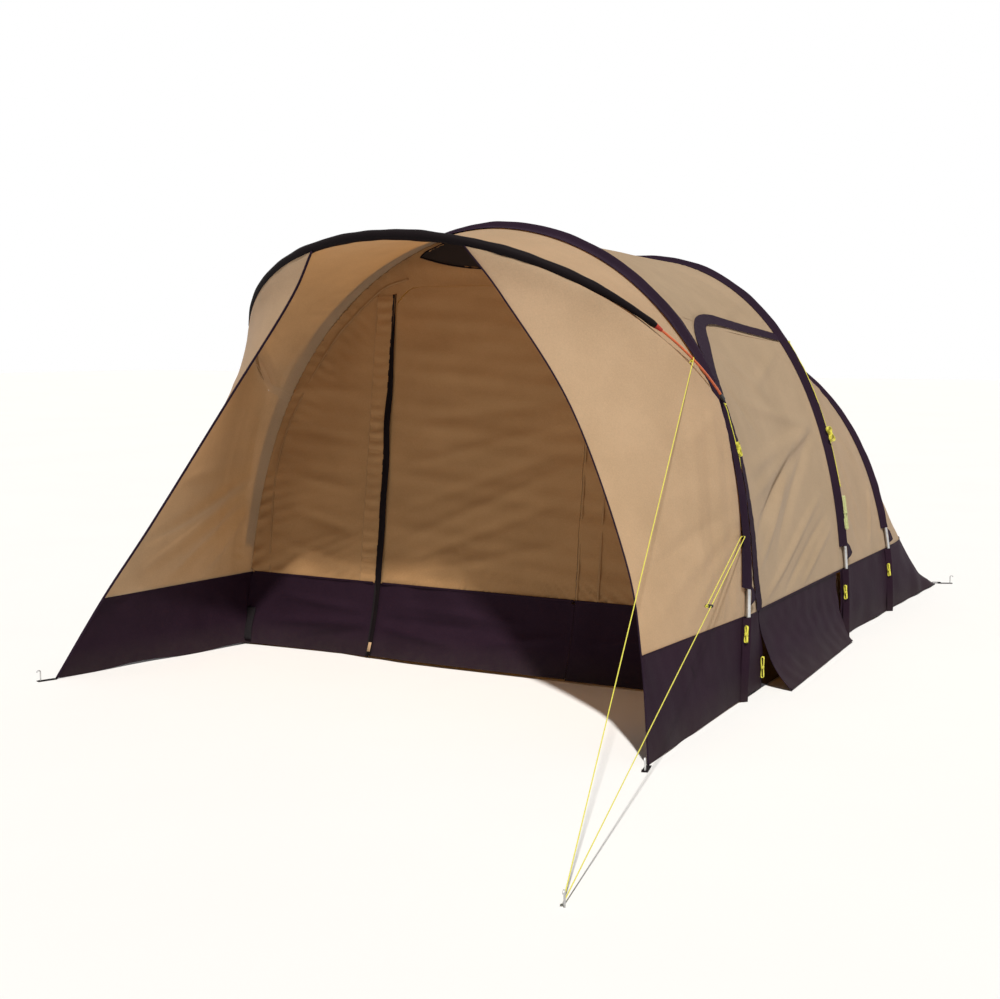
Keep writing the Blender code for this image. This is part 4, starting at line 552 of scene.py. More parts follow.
def cloth(name, light, dark, roughness, pitch, sheen, through=None, share=0.0, soil=None, gloss=0.14):
    """Woven cloth: threads, slubs and mottling, small creases, and light let through where it is thin."""
    finish = Finish(name)
    mottle, slub = finish.noise(3.2, 5.0), finish.noise(160.0, 2.0)
    tone = finish.maths("ADD", finish.maths("MULTIPLY", mottle, 0.62), finish.maths("MULTIPLY", slub, 0.38))
    colour = finish.ramp(tone, [(0.36, dark), (0.62, light)])
    if soil:
        height = finish.add("SeparateXYZ", links={"Vector": finish.place()}).outputs["Z"]
        low = finish.maths("SUBTRACT", 1.0, finish.maths("MULTIPLY", height, 7.0))
        splash = finish.maths("MULTIPLY", finish.noise(22.0, 6.0), finish.maths("MAXIMUM", low, 0.0))
        colour = finish.mixed(finish.maths("MINIMUM", splash, 0.55), colour, (*soil, 1))
    finish.link("Base Color", colour)
    finish.set(Roughness=roughness, Sheen_Weight=sheen, Sheen_Roughness=0.5, Specular_IOR_Level=gloss)
    creases = finish.bump(finish.noise(26.0, 4.0, distortion=0.8), 0.28, 0.004)
    normal = finish.bump(weave(finish, pitch), 0.25, 0.0002, creases)
    finish.link("Normal", normal)
    finish.link("Roughness", finish.ramp(mottle, [(0.3, roughness - 0.06), (0.7, roughness + 0.05)]))
    if through:
        behind = finish.ramp(tone, [(0.36, tuple(0.8 * c for c in through)), (0.62, through)])
        glow = finish.add("BsdfTranslucent", links={"Color": behind, "Normal": normal})
        mix = finish.add("MixShader", {"Fac": share})
        finish.fill(mix, ((1, finish.shader.outputs[0]), (2, glow.outputs[0])))
        finish.tree.links.new(mix.outputs[0], finish.output.inputs["Surface"])
    return finish.material


def smooth_finish(name, light, dark, wear, roughness, metallic, scale):
    """Metal, plastic or coated rod: uneven tone and gloss, fine surface marks, worn spots."""
    finish = Finish(name)
    tone = finish.noise(scale, 5.0)
    spots = finish.ramp(finish.noise(3 * scale, 8.0, roughness=0.7), [(0.60, 0.0), (0.68, 1.0)])
    colour = finish.ramp(tone, [(0.35, dark), (0.65, light)])
    finish.link("Base Color", finish.mixed(spots, colour, (*wear, 1)))
    finish.set(Metallic=metallic)
    finish.link("Roughness", finish.ramp(tone, [(0.3, roughness * 0.8), (0.7, roughness * 1.25)]))
    finish.link("Normal", finish.bump(finish.noise(9 * scale, 3.0), 0.4, 0.0004))
    return finish.material


def rope_finish(name, light, dark):
    """Braided line: strands that slant both ways along the UVs, which are in metres."""
    finish = Finish(name)
    where, values = finish.place("UV"), {"Scale": THREADS_PER_SCALE / 0.0016}
    strands = []
    for slant in (38, -38):
        turned = finish.add("Mapping", {"Rotation": (0, 0, math.radians(slant))}, {"Vector": where})
        strands.append(finish.add("TexWave", values, {"Vector": turned.outputs[0]}).outputs["Fac"])
    braid = finish.maths("MAXIMUM", *strands)
    marks = finish.maths("MULTIPLY", finish.noise(60.0), 0.5)
    tone = finish.maths("ADD", finish.maths("MULTIPLY", braid, 0.5), marks)
    finish.link("Base Color", finish.ramp(tone, [(0.3, dark), (0.62, light)]))
    finish.set(Roughness=0.7, Sheen_Weight=0.2, Specular_IOR_Level=0.3)
    finish.link("Normal", finish.bump(braid, 0.6, 0.0005))
    return finish.material


def mesh_finish(name):
    """Insect mesh: fine dark netting whose holes are painted as darker dots, painted shade for the dark inside
    seen through them.
    """
    finish = Finish(name)
    net = weave(finish, 0.0026)
    dark, light = (0.004, 0.0035, 0.003), (0.035, 0.026, 0.024)
    finish.link("Base Color", finish.ramp(net, [(0.25, dark), (0.8, light)]))
    finish.set(Roughness=0.85, Specular_IOR_Level=0.15)
    finish.link("Normal", finish.bump(net, 0.7, 0.0006))
    return finish.material


FINISHES = {
    "cotton": cloth("polycotton", (0.56, 0.412, 0.268), (0.485, 0.352, 0.222), 0.86, 0.0011, 0.10,
                    (0.62, 0.260, 0.045), 0.33),
    # The front wall, its door and the placket: the cotton darkened and warmed as painted shade, since they lie
    # under the porch roof.
    "wall": cloth("porch_wall_cotton_painted_shade", (0.400, 0.232, 0.105), (0.335, 0.190, 0.083), 0.88, 0.0011, 0.06),
    # Seams on the front wall: the wall's painted shade, a little darker on the raised seams.
    "seam": cloth("polycotton_seam_painted_shade", (0.36, 0.215, 0.100), (0.30, 0.175, 0.080), 0.88, 0.0011, 0.10),
    # The canopy's binding: a darker warm strip along the rim, whose colour is the painted shadow of the hoop.
    "hem": cloth("canopy_binding_painted_shadow", (0.33, 0.19, 0.085), (0.26, 0.145, 0.062), 0.85, 0.0011, 0.1),
    "mud": cloth("mud_wall_cloth", (0.0235, 0.0115, 0.0205), (0.0165, 0.0080, 0.0145), 0.62, 0.0007, 0.0,
                 soil=(0.036, 0.026, 0.026), gloss=0.03),
    "sleeve": cloth("sleeve_cloth", (0.0245, 0.0135, 0.0250), (0.0170, 0.0092, 0.0175), 0.72, 0.0007, 0.0,
                    gloss=0.03),
    "black": cloth("hoop_sleeve_cloth", (0.0080, 0.0052, 0.0062), (0.0048, 0.0031, 0.0038), 0.66, 0.0007,
                   0.0, gloss=0.06),
    "floor": cloth("groundsheet", (0.060, 0.060, 0.070), (0.045, 0.045, 0.054), 0.48, 0.0012, 0.05),
    "inner": cloth("bedroom_cloth", (0.66, 0.59, 0.47), (0.58, 0.51, 0.40), 0.88, 0.0006, 0.10,
                   (0.70, 0.60, 0.42), 0.35),
    "webbing": cloth("black_webbing", (0.022, 0.019, 0.021), (0.013, 0.011, 0.012), 0.9, 0.0016, 0.0,
                     gloss=0.02),
    "tan": cloth("tan_tape", (0.50, 0.33, 0.19), (0.40, 0.26, 0.15), 0.8, 0.0012, 0.1),
    "net": mesh_finish("insect_mesh"),
    "steel": smooth_finish("pole_metal", (0.62, 0.62, 0.61), (0.48, 0.48, 0.48), (0.25, 0.24, 0.23),
                           0.34, 0.9, 18.0),
    "rod": smooth_finish("fibre_rod", (0.62, 0.125, 0.030), (0.46, 0.085, 0.022), (0.30, 0.12, 0.07),
                         0.38, 0.0, 24.0),
    "red_cuff": cloth("red_cuff", (0.42, 0.035, 0.022), (0.30, 0.025, 0.016), 0.7, 0.0008, 0.1),
    "plastic": smooth_finish("black_plastic", (0.020, 0.019, 0.020), (0.012, 0.0115, 0.012),
                             (0.05, 0.048, 0.05), 0.42, 0.0, 60.0),
    "rope": rope_finish("yellow_line", (0.78, 0.72, 0.075), (0.46, 0.43, 0.035)),
    "pale_rope": rope_finish("pale_line", (0.66, 0.70, 0.34), (0.42, 0.47, 0.16)),
}


# Pieces

def piece(name, points, faces, finish, uv, body="tent", replaces=(), bend=None):
    """A mesh piece on a body; a piece given a bend, the start and end of a hinge's turn, is not put on the
    body, and its transform is baked in.
    """
    mesh = bpy.data.meshes.new(name)
    points = np.asarray(points).reshape(-1, 3)
    mesh.from_pydata(points.tolist(), [], [list(map(int, face)) for face in faces])
    layer = mesh.uv_layers.new(name="UVMap")
    corners = np.empty(len(mesh.loops), int)
    mesh.loops.foreach_get("vertex_index", corners)
    layer.data.foreach_set("uv", np.asarray(uv, float).reshape(-1, 2)[corners].ravel())
    mesh.materials.append(FINISHES[finish])
    mesh.shade_smooth()
    made = bpy.data.objects.new(name, mesh)
    bpy.context.collection.objects.link(made)
    if replaces:
        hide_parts(*replaces)
    if bend:
        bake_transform(made)
    else:
        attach(made, body)
    return made


def cells(rows, columns, keep=None):
    i, j = np.mgrid[0:rows - 1, 0:columns - 1]
    if keep is not None:
        i, j = i[keep], j[keep]
    corner = (i * columns + j).ravel()
    return np.stack([corner, corner + 1, corner + columns + 1, corner + columns], 1)


def cloth_uv(grid):
    """UVs in metres: along the rows, and up the columns."""
    across = np.concatenate([np.zeros((len(grid), 1)), np.cumsum(length_of(np.diff(grid, axis=1)), 1)], 1)
    up = np.concatenate([np.zeros((1, grid.shape[1])), np.cumsum(length_of(np.diff(grid, axis=0)), 0)], 0)
    return np.stack([across, up], -1)


def cells_area(points, faces):
    corners = np.asarray(points).reshape(-1, 3)[np.asarray(faces)]
    first, second = corners[:, 2] - corners[:, 0], corners[:, 3] - corners[:, 1]
    return float(length_of(np.cross(first, second)).sum() / 2)


def declare_sheet(made, width, length, area, held, rests_on):
    width, length = max(width, 0.01), max(length, 0.01)
    area = min(max(area, 0.301 * width * length), width * length)


def panel(name, grid, finish, lift, body="tent", replaces=(), keep=None, held="stretched", bend=None, *,
          rests_on, outward):
    """A cloth panel on a grid of points, raised by its folds along its own normals."""
    normals, outward = grid_normals(grid), np.asarray(outward, float)
    normals = normals * (1 if (normals @ outward).mean() > 0 else -1)
    uv, faces = cloth_uv(grid), cells(*grid.shape[:2], keep)
    if (np.cross(grid[1, 1] - grid[0, 0], grid[1, 0] - grid[0, 1]) @ outward) < 0:
        faces = faces[:, ::-1]
    made = piece(name, grid + normals * lift[..., None], faces, finish, uv, body, replaces, bend)
    declare_sheet(made, *uv.reshape(-1, 2).max(0).tolist(), cells_area(grid, faces), held, rests_on)


def swept(name, rings, finish, uv, body="tent", replaces=(), bend=None):
    """A skin over a row of rings, closed at both ends."""
    count, sides = rings.shape[:2]
    i, j = np.mgrid[0:count - 1, 0:sides]
    a, b = i * sides + j, i * sides + (j + 1) % sides
    faces = [list(f) for f in np.stack([a, b, b + sides, a + sides], -1).reshape(-1, 4)]
    faces += [list(range(sides))[::-1], list(range((count - 1) * sides, count * sides))]
    return piece(name, rings, faces, finish, uv, body, replaces, bend)


def tube(name, line, radius, finish, sides, replaces=(), flat=1.0, up=(0, 0, 1.0)):
    """A round or flattened tube with closed ends along a line; radius may vary along it."""
    line = np.asarray(line, float)
    radius = np.broadcast_to(np.asarray(radius, float), (len(line),))
    along = unit(np.gradient(line, axis=0))
    side = np.cross(along[0], up)
    side = unit(side if length_of(side) > 1e-3 else np.cross(along[0], (0, 1.0, 0)))
    first = []
    for way in along:
        side = unit(side - way * (side @ way))
        first.append(side)
    second = np.cross(along, first)
    turn = np.linspace(0, 2 * math.pi, sides, endpoint=False)
    round_it = (np.array(first)[:, None] * np.cos(turn)[None, :, None] * flat
                + second[:, None] * np.sin(turn)[None, :, None])
    uv = np.stack(np.broadcast_arrays(run_lengths(line)[:, None], turn[None] * radius.mean()), -1)
    return swept(name, line[:, None] + radius[:, None, None] * round_it, finish, uv, replaces=replaces)


def strap(name, line, across, half_width, thickness, finish, body="tent", bend=None, out=None):
    """A flat tape with rounded edges along a line; across points to its side."""
    line = np.asarray(line, float)
    across = unit(np.broadcast_to(np.asarray(across, float), line.shape))
    along = unit(np.gradient(line, axis=0))
    up = unit(np.cross(along, across)) if out is None else unit(np.broadcast_to(out, line.shape))
    half = np.broadcast_to(np.asarray(half_width, float), (len(line),))[:, None, None]
    section = np.array([(-1, 0.2), (-0.93, 0.85), (-0.8, 1), (0, 1), (0.8, 1), (0.93, 0.85), (1, 0.2),
                        (0.9, 0), (0, 0), (-0.9, 0)])
    rings = line[:, None] + across[:, None] * half * section[None, :, :1]
    rings = rings + up[:, None] * thickness * section[None, :, 1:]
    uv = np.stack(np.broadcast_arrays(section[None, :, 0] * half[..., 0], run_lengths(line)[:, None]), -1)
    return swept(name, rings, finish, uv, body, bend=bend)


def inside(points, outline):
    x, y = points[:, 0], points[:, 1]
    found = np.zeros(len(points), bool)
    for (ax, ay), (bx, by) in zip(outline, np.roll(outline, -1, 0)):
        crossing = (ay > y) != (by > y)
        if ay != by:
            found ^= crossing & (x < ax + (y - ay) * (bx - ax) / (by - ay))
    return found


def onto_outline(points, outline):
    """The nearest points of an outline."""
    best, found = np.full(len(points), np.inf), points.copy()
    for start, end in zip(outline, np.roll(outline, -1, 0)):
        along = end - start
        size = along @ along
        if size < 1e-12:
            continue
        share = np.clip(((points - start) @ along) / size, 0, 1)[:, None]
        near = start + share * along
        gap = length_of(points - near)
        closer = gap < best
        best, found[closer] = np.where(closer, gap, best), near[closer]
    return found


def trimmed(outline, holes, step):
    """A regular net of quads cut to an outline and round holes: its points and its faces."""
    outline = np.asarray(outline, float)
    low, high = outline.min(0), outline.max(0)
    xs, ys = spread(low[0], high[0], step), spread(low[1], high[1], step)
    points = np.stack(np.meshgrid(xs, ys), -1).reshape(-1, 2)
    faces = cells(len(ys), len(xs))
    for loop, wanted in [(outline, True)] + [(np.asarray(hole, float), False) for hole in holes]:
        good = inside(points, loop) == wanted
        near = length_of(onto_outline(points, loop) - points) < 1e-6
        faces = faces[(good | near)[faces].any(1) & (good[faces].sum(1) >= 2)]
        used = np.zeros(len(points), bool)
        used[faces] = True
        move = used & ~good
        points[move] = onto_outline(points[move], loop)
    used = np.unique(faces)
    index = np.full(len(points), -1)
    index[used] = np.arange(len(used))
    return points[used], index[faces]


def wall_panel(name, outline, holes, finish, lift, replaces, body="tent", bend=None, out=0.0,
               held="stretched"):
    """A panel in the plane of the front wall."""
    flat, faces = trimmed(outline, holes, WALL_NET)
    x, up = flat.T
    made = piece(name, on_wall(x, up, lift(x, up) + out), faces, finish, flat, body, replaces, bend)
    area = cells_area(on_wall(x, up), faces)
    declare_sheet(made, *np.ptp(flat, axis=0).tolist(), area, held, ["front_pole"])


# Cloth

WALL_SEAM = SEAM_HEIGHT / LEAN_COS
# The side zip covers start at the front sleeve's edge, and reach ahead of the door's edge.
COVER_START, COVER_LAP = 0.0945, 0.040
TAIL_RIBS = 155
ROW_CELLS = 11
WALL_NET = 0.016
# Where the cloth comes out from under the sleeves: behind the front one, beside the others, on the wings.
FRONT_SLEEVE_EDGE, SLEEVE_EDGE, WING_SLEEVE_EDGE, SLEEVE_FADE = 0.094, 0.060, 0.068, 0.035
# How far the hem of the front wall's mud strips stands forwards, by its place across.
HEM_FLARE = [(-1.43, 0.060), (-1.05, 0.030), (-0.78, 0.018), (-0.55, 0.050), (-0.25, 0.080), (0.40, 0.065),
             (0.95, 0.050), (1.43, 0.030)]
BOTH_SIDES = (("right", 1), ("left", -1))


def net_rows(first, last, cells_each=ROW_CELLS):
    return np.linspace(first, last, int(round((last - first) * cells_each)) + 1)


def sided(grid, sign):
    return grid if sign > 0 else mirrored(grid)


def spot(surface, row, share):
    """One point of a surface."""
    return surface(np.array([row]), np.array([share])).reshape(3)


def folds_on(surface, table, base=0, way=1):
    """Folds from one place of a surface to another: row, share, row, share, height and half width."""
    return [(spot(surface, base + way * a, b), spot(surface, base + way * c, d), height, width)
            for a, b, c, d, height, width in table]


def edge_distances(grid):
    """Distances of a grid's points from its first and last column, and from its first and last row."""
    uv = cloth_uv(grid)
    across, up = uv[..., 0], uv[..., 1]
    return across, across.max(1, keepdims=True) - across, up, up.max(0, keepdims=True) - up


def seam_gathers(grid, spacing, height, reach, seed, covered=(0.06, 0.06)):
    """Gathers along the first and last columns of a panel, where it is sewn to the sleeves."""
    before, behind, up, _ = edge_distances(grid)
    first, last = np.maximum(0, before - covered[0]), np.maximum(0, behind - covered[1])
    return (puckers(up, first, spacing, height, reach, seed)
            + puckers(up, last, spacing, height, reach, seed + 1))


def beside_sleeves(grid, first, last):
    """0 on a panel's ends and under the sleeves along its first and last columns, 1 well clear of them."""
    before, behind, low, high = edge_distances(grid)
    return (eased((before - first) / SLEEVE_FADE) * eased((behind - last) / SLEEVE_FADE)
            * eased(np.minimum(low, high) / 0.02))


def edge_fade(grid, reach):
    """0 on a panel's sewn edges, 1 well inside it."""
    return eased(np.minimum.reduce(np.broadcast_arrays(*edge_distances(grid))) / reach)


def make_canopy():
    rows, shares = net_rows(PIVOT_ROW, LAST_ROW - PIVOT_ROW), np.linspace(0, 1, 64)
    grid = canopy(rows, shares)
    lift = ripple(grid, 0.50, 0.0026, 11) + seam_gathers(grid, 0.06, 0.0035, 0.07, 12, (0.095, 0.0))
    fans = [((0.25, 0.22), ((1.6, 0.92), (2.6, 0.95), (3.8, 0.9), (5.2, 0.8), (6.4, 0.62)), 0.010, 0.035, 13),
            ((0.6, 0.08), ((3.0, 0.12), (4.2, 0.20), (5.6, 0.25)), 0.006, 0.022, 17)]
    for first, way in ((PIVOT_ROW, 1), (LAST_ROW - PIVOT_ROW, -1)):
        for root, ends, height, width, seed in fans:
            centre, *ends = [spot(canopy, first + way * row, share) for row, share in (root, *ends)]
            lift += folds(grid, fan(centre, ends, height, width, seed + way))
    lift *= beside_sleeves(grid, front_widths(rows)[0][:, None] + 0.004, 0.0)
    panel("porch_canopy_cloth", grid, "cotton", lift, replaces=["porch_canopy"],
          rests_on=["front_sleeve", "hoop_sleeve"], outward=(0, -0.3, 1))
    rim = canopy(np.linspace(PIVOT_ROW, LAST_ROW - PIVOT_ROW, 241), np.array([0.975, 1.0]))
    across = unit(rim[:, 1] - rim[:, 0])
    # A darker strip along the rim under the hoop: painted shadow of the hoop.
    strap("canopy_binding_painted_shadow", rim[:, 1] - across * 0.008, across, 0.013, 0.0022, "hem")


def make_wing_gussets():
    """The strips that join each wing's top edge to the canopy's rim, from the pivot up the hoop."""
    first, count = math.degrees(CANOPY_START) / math.degrees(WING_TOP_ANGLE), 60
    s = np.concatenate([np.linspace(0, first, 16)[:-1], np.linspace(first, 1, count)])
    lower = wing(np.array([1.0]), s)[0]
    edge_row = canopy(np.array([PIVOT_ROW]), np.linspace(0, 1, 16))[0]
    rows_each = (LAST_ROW - 2 * PIVOT_ROW) / (math.pi - 2 * CANOPY_START)
    rows = PIVOT_ROW + (np.linspace(CANOPY_START, WING_TOP_ANGLE, count) - CANOPY_START) * rows_each
    upper = np.concatenate([edge_row[:-1], canopy(rows, np.array([1.0]))[:, 0]])
    grid = np.stack([lerp(lower, upper, np.full(len(s), share)) for share in np.linspace(0, 1, 5)])
    for side, sign in BOTH_SIDES:
        panel(f"wing_gusset_{side}", sided(grid, sign), "cotton", np.zeros(grid.shape[:2]),
              rests_on=[f"porch_wing_cloth_{side}"], outward=(sign, 0, 0.5))


STEEP_FOLDS = [(0.02, 0.12, 0.90, 0.10, 0.0060, 0.017), (0.02, 0.17, 0.82, 0.14, -0.0060, 0.018),
               (0.02, 0.23, 0.90, 0.19, 0.0060, 0.020), (0.04, 0.31, 0.84, 0.25, -0.0045, 0.024),
               (0.10, 0.42, 0.80, 0.34, 0.0035, 0.030), (0.96, 0.10, 0.60, 0.45, 0.0040, 0.026),
               (0.98, 0.10, 0.80, 0.62, -0.004, 0.03)]
SLANTING_FOLDS = [(0.56, 0.02, 0.06, 0.86, 0.0110, 0.036), (0.60, 0.03, 0.16, 0.96, -0.0090, 0.030),
                  (0.50, 0.02, 0.03, 0.60, 0.0090, 0.028), (0.66, 0.03, 0.34, 0.90, 0.0085, 0.034),
                  (0.45, 0.02, 0.02, 0.38, -0.0070, 0.024), (0.74, 0.03, 0.52, 0.88, -0.0065, 0.030),
                  (0.84, 0.04, 0.66, 0.80, 0.0065, 0.030)]
# Folds of the porch's mud walls: place along and up the wall, and length.
LOW_FOLDS = [(-2.42, 0.13, 0.30), (-2.75, 0.22, 0.38), (-3.0, 0.10, 0.30), (-2.55, 0.30, 0.30),
             (-2.9, 0.31, 0.26), (-2.25, 0.24, 0.16)]


def make_wing(side, sign):
    """A porch wing with its bound front edge: steep folds show on the right, slanting ones on the left."""
    v = np.linspace(0, 1, 84)
    s = np.concatenate([np.linspace(0, WING_PIVOT_SHARE, 7)[:-1], np.linspace(WING_PIVOT_SHARE, 1, 62)])
    grid = wing(v, s)
    steep, slanting = folds_on(wing, STEEP_FOLDS), folds_on(wing, SLANTING_FOLDS)
    if sign > 0:
        lines = steep + [(a, b, 0.35 * height, width) for a, b, height, width in slanting]
    else:
        lines = slanting + [(a, b, 0.5 * height, width) for a, b, height, width in steep[:4]]
    lift = folds(grid, lines) + ripple(grid, 0.42, 0.0020, 21 + sign)
    lift += seam_gathers(grid, 0.05, 0.0022, 0.05, 23 + sign, (WING_SLEEVE_EDGE, 0.0))
    lift *= beside_sleeves(grid, WING_SLEEVE_EDGE, 0.0)
    panel(f"porch_wing_cloth_{side}", sided(grid, sign), "cotton", lift,
          replaces=[f"porch_wing_{side}"], rests_on=["front_sleeve"], outward=(sign, 0, 0))
    edge = sided(np.vstack([EDGE_LOW[:-1], EDGE_HIGH]), sign)
    tube(f"wing_edge_binding_{side}", edge, 0.0060, "sleeve", 8, flat=0.6)


def side_normals(line):
    """Level directions square to a line on the tent's right side, away from its middle."""
    out = unit(np.cross(np.gradient(line, axis=0), (0, 0, 1.0)))
    return out * np.sign(out[:, :1])


def laid_hem(grid, wave, up):
    """A mud wall's grid with its hem raised where it lies on the ground in waves."""
    ground = np.clip(wave + 0.003, 0, 0.012) * (1 - up) ** 4
    return grid + ground[..., None] * np.array([0, 0, 1.0])


def make_porch_mud_wall(side, sign):
    """A porch mud wall with its folds and waved hem, and the tape over the seam above it."""
    v = np.linspace(0, 1, 20)
    mud = wing_mud(v, np.linspace(0, 1, 70), np.linspace(0, 1, 15))
    up = np.broadcast_to(v[:, None], mud.shape[:2])
    wave = ripple(mud * np.array([1, 1, 0]), 0.34, 0.006, 31 + sign)
    lines = []
    for k, (y, z, reach) in enumerate(LOW_FOLDS):
        x = FRONT.half_width + (FRONT.foot_y - y) * 0.1
        height = 0.011 if k % 2 else -0.010
        lines.append(((x, y - reach / 2, z + 0.05), (x, y + reach / 2, z - 0.03), height, 0.020))
    lift = folds(mud, lines) + ripple(mud, 0.16, 0.0022, 33 + sign) * (0.4 + 0.6 * up)
    lift = lift * edge_fade(mud, 0.012) + wave * (1 - up) ** 2 * 0.8
    if sign < 0:
        ahead = np.clip((FRONT.foot_y - mud[..., 1]) / PORCH_REACH, 0, 1)
        flare = HEM_FLARE[0][1] * (1 - ahead) * np.clip(1 - up, 0, 1) ** 1.6
        lift -= flare * (mud[..., 1] < FRONT.foot_y + 0.02)
    panel(f"porch_mud_wall_{side}", sided(laid_hem(mud, wave, up), sign), "mud", lift,
          replaces=[f"front_mud_wall_{side}"], held="hung", rests_on=["front_pole"], outward=(sign, 0, 0))
    seam = wing(np.array([0.0, 0.01]), np.linspace(0, 1, 80))[0]
    out = side_normals(seam)
    strap(f"porch_seam_{side}", sided(seam + out * 0.001, sign), (0, 0, 1), SEAM_HALF_WIDTH, SEAM_THICKNESS,
          "mud", out=sided(out, sign))


def make_wings():
    for side, sign in BOTH_SIDES:
        make_wing(side, sign)
        make_porch_mud_wall(side, sign)


def hem_flare(x, up):
    """How far the porch's mud wall stands forwards: its hem is longer than the wall is wide."""
    return np.interp(x, *zip(*HEM_FLARE)) * np.clip(1 - up * LEAN_COS / SEAM_HEIGHT, 0, 1) ** 1.6


# Folds on the front wall: place across and up at both ends, height and half width.
WALL_FOLDS = [(-1.22, low, -0.74, high, height, 0.026) for low, high, height in
              ((0.55, 0.44, 0.005), (0.74, 0.62, -0.005), (0.92, 0.84, 0.005), (1.16, 1.10, -0.004),
               (1.38, 1.36, 0.004))]
WALL_FOLDS += [(-0.52, left, 0.54, right, height, 0.028) for left, right, height in
               ((0.40, 0.66, 0.005), (0.46, 0.88, -0.005), (0.58, 1.04, 0.005), (0.74, 1.12, -0.004),
                (0.98, 1.24, 0.004), (1.20, 1.34, -0.003))]
MUD_FOLDS = [(-1.28, 0.13, -0.62, 0.17, 0.009, 0.018), (-1.20, 0.27, -0.66, 0.23, 0.007, 0.018),
             (-1.05, 0.06, -0.62, 0.13, -0.007, 0.018), (-0.56, 0.16, -0.05, 0.10, 0.009, 0.018),
             (-0.56, 0.20, 0.15, 0.19, -0.007, 0.018), (-0.50, 0.28, 0.30, 0.24, 0.006, 0.018),
             (0.05, 0.12, 0.52, 0.20, 0.006, 0.018), (0.65, 0.18, 1.25, 0.25, 0.006, 0.018)]


def wall_folds(points, table):
    lines = [(on_wall(a, b), on_wall(c, d), height, width) for a, b, c, d, height, width in table]
    return folds(points, lines)


def wall_waves(x, up):
    """Folds of the front wall: broad slack, gathers by its rim, and soft level folds."""
    points, flat = on_wall(x, up), np.stack([x, up], -1)
    distance = length_of(onto_outline(flat, wall_rim(SEAM_ROW, LAST_ROW - SEAM_ROW)) - flat)
    around = np.arctan2(up - 0.9, x)
    lift = ripple(points, 0.42, 0.0032, 41, stretch=(1, 1, 1.6))
    lift += ripple(points, 0.15, 0.0042, 48, stretch=(0.22, 0.3, 1.3)) * (0.5 + 0.5 * eased((x + 0.7) / 0.4))
    lift += puckers(around * 1.35, distance, 0.055, 0.0050, 0.13, 42) + wall_folds(points, WALL_FOLDS)
    return lift * eased(distance / 0.015) * eased((np.abs(x - ZIP_X) - 0.008) / 0.045)


def mud_waves(x, up):
    """Folds of the dark strips at the front wall's foot, whose hem stands forwards."""
    points = on_wall(x, up)
    return wall_folds(points, MUD_FOLDS) + ripple(points, 0.18, 0.0026, 44) + hem_flare(x, up)


def door_opening(play, low):
    """Outline of the front door's opening, or of the leaf that fills it."""
    left, right, top = ZIP_X + play, HINGE_X - play, DOOR_TOP / LEAN_COS - play
    radius = DOOR_CORNER - play
    turn = np.linspace(0, math.pi / 2, 9)
    points = [(left, low), (right, low)]
    points += [(right - radius + radius * math.cos(a), top - radius + radius * math.sin(a)) for a in turn]
    points += [(left + radius - radius * math.sin(a), top - radius + radius * math.cos(a)) for a in turn]
    return points


def vent_lens(grow=0.0):
    x = np.linspace(-1, 1, 33)
    half = VENT_HALF_WIDTH + grow
    low = (VENT_LOW + (VENT_TIP - VENT_LOW) * x ** 2 - grow) / LEAN_COS
    high = (VENT_HIGH + (VENT_TIP - VENT_HIGH) * x ** 2 + grow) / LEAN_COS
    return np.vstack([np.stack([x * half, low], -1), np.stack([x * half, high], -1)[::-1][1:-1]])


def make_front_wall():
    wall_panel("front_wall_cloth", wall_rim(SEAM_ROW, LAST_ROW - SEAM_ROW),
               [door_opening(0.0, 0.0), vent_lens()], "wall", wall_waves, ["front_wall"])
    hinge = (tuple(on_wall(HINGE_X, WALL_SEAM)), tuple(on_wall(HINGE_X - HINGE_BEND, WALL_SEAM)))
    wall_panel("front_door_cloth", door_opening(DOOR_PLAY, WALL_SEAM + SEAM_PLAY), [], "wall", wall_waves,
               ["front_door_leaf"], "front_door", hinge)
    left, right, top = ZIP_X + DOOR_PLAY, HINGE_X - DOOR_PLAY, WALL_SEAM - SEAM_PLAY
    wall_panel("front_door_skirt", [(left, 0.006), (right, 0.006), (right, top), (left, top)], [], "mud",
               mud_waves, ["front_door_mud_flap"], "front_door", hinge, held="hung")
    foot = wall_rim(0, SEAM_ROW)
    foot[0, 1] = 0.001
    for side, sign, inner in (("right", 1, HINGE_X), ("left", -1, ZIP_X)):
        outline = [(inner, foot[0, 1]), *(foot * (sign, 1)), (inner, top)]
        wall_panel(f"front_mud_strip_{side}", outline, [], "mud", mud_waves,
                   [f"front_wall_mud_strip_{side}"], held="hung")
    wall_panel("vent_mesh_cloth", vent_lens(0.010), [], "net",
               lambda x, up: ripple(on_wall(x, up), 0.2, 0.001, 45), ["front_vent_mesh"], out=0.003)
    lens = vent_lens(0.006)
    tube("vent_binding", on_wall(*np.vstack([lens, lens[:1]]).T, 0.005), 0.0035, "black", 8)
    make_front_zip()
    make_placket()
    make_wall_seams(hinge)
    make_zip_foot_tab()


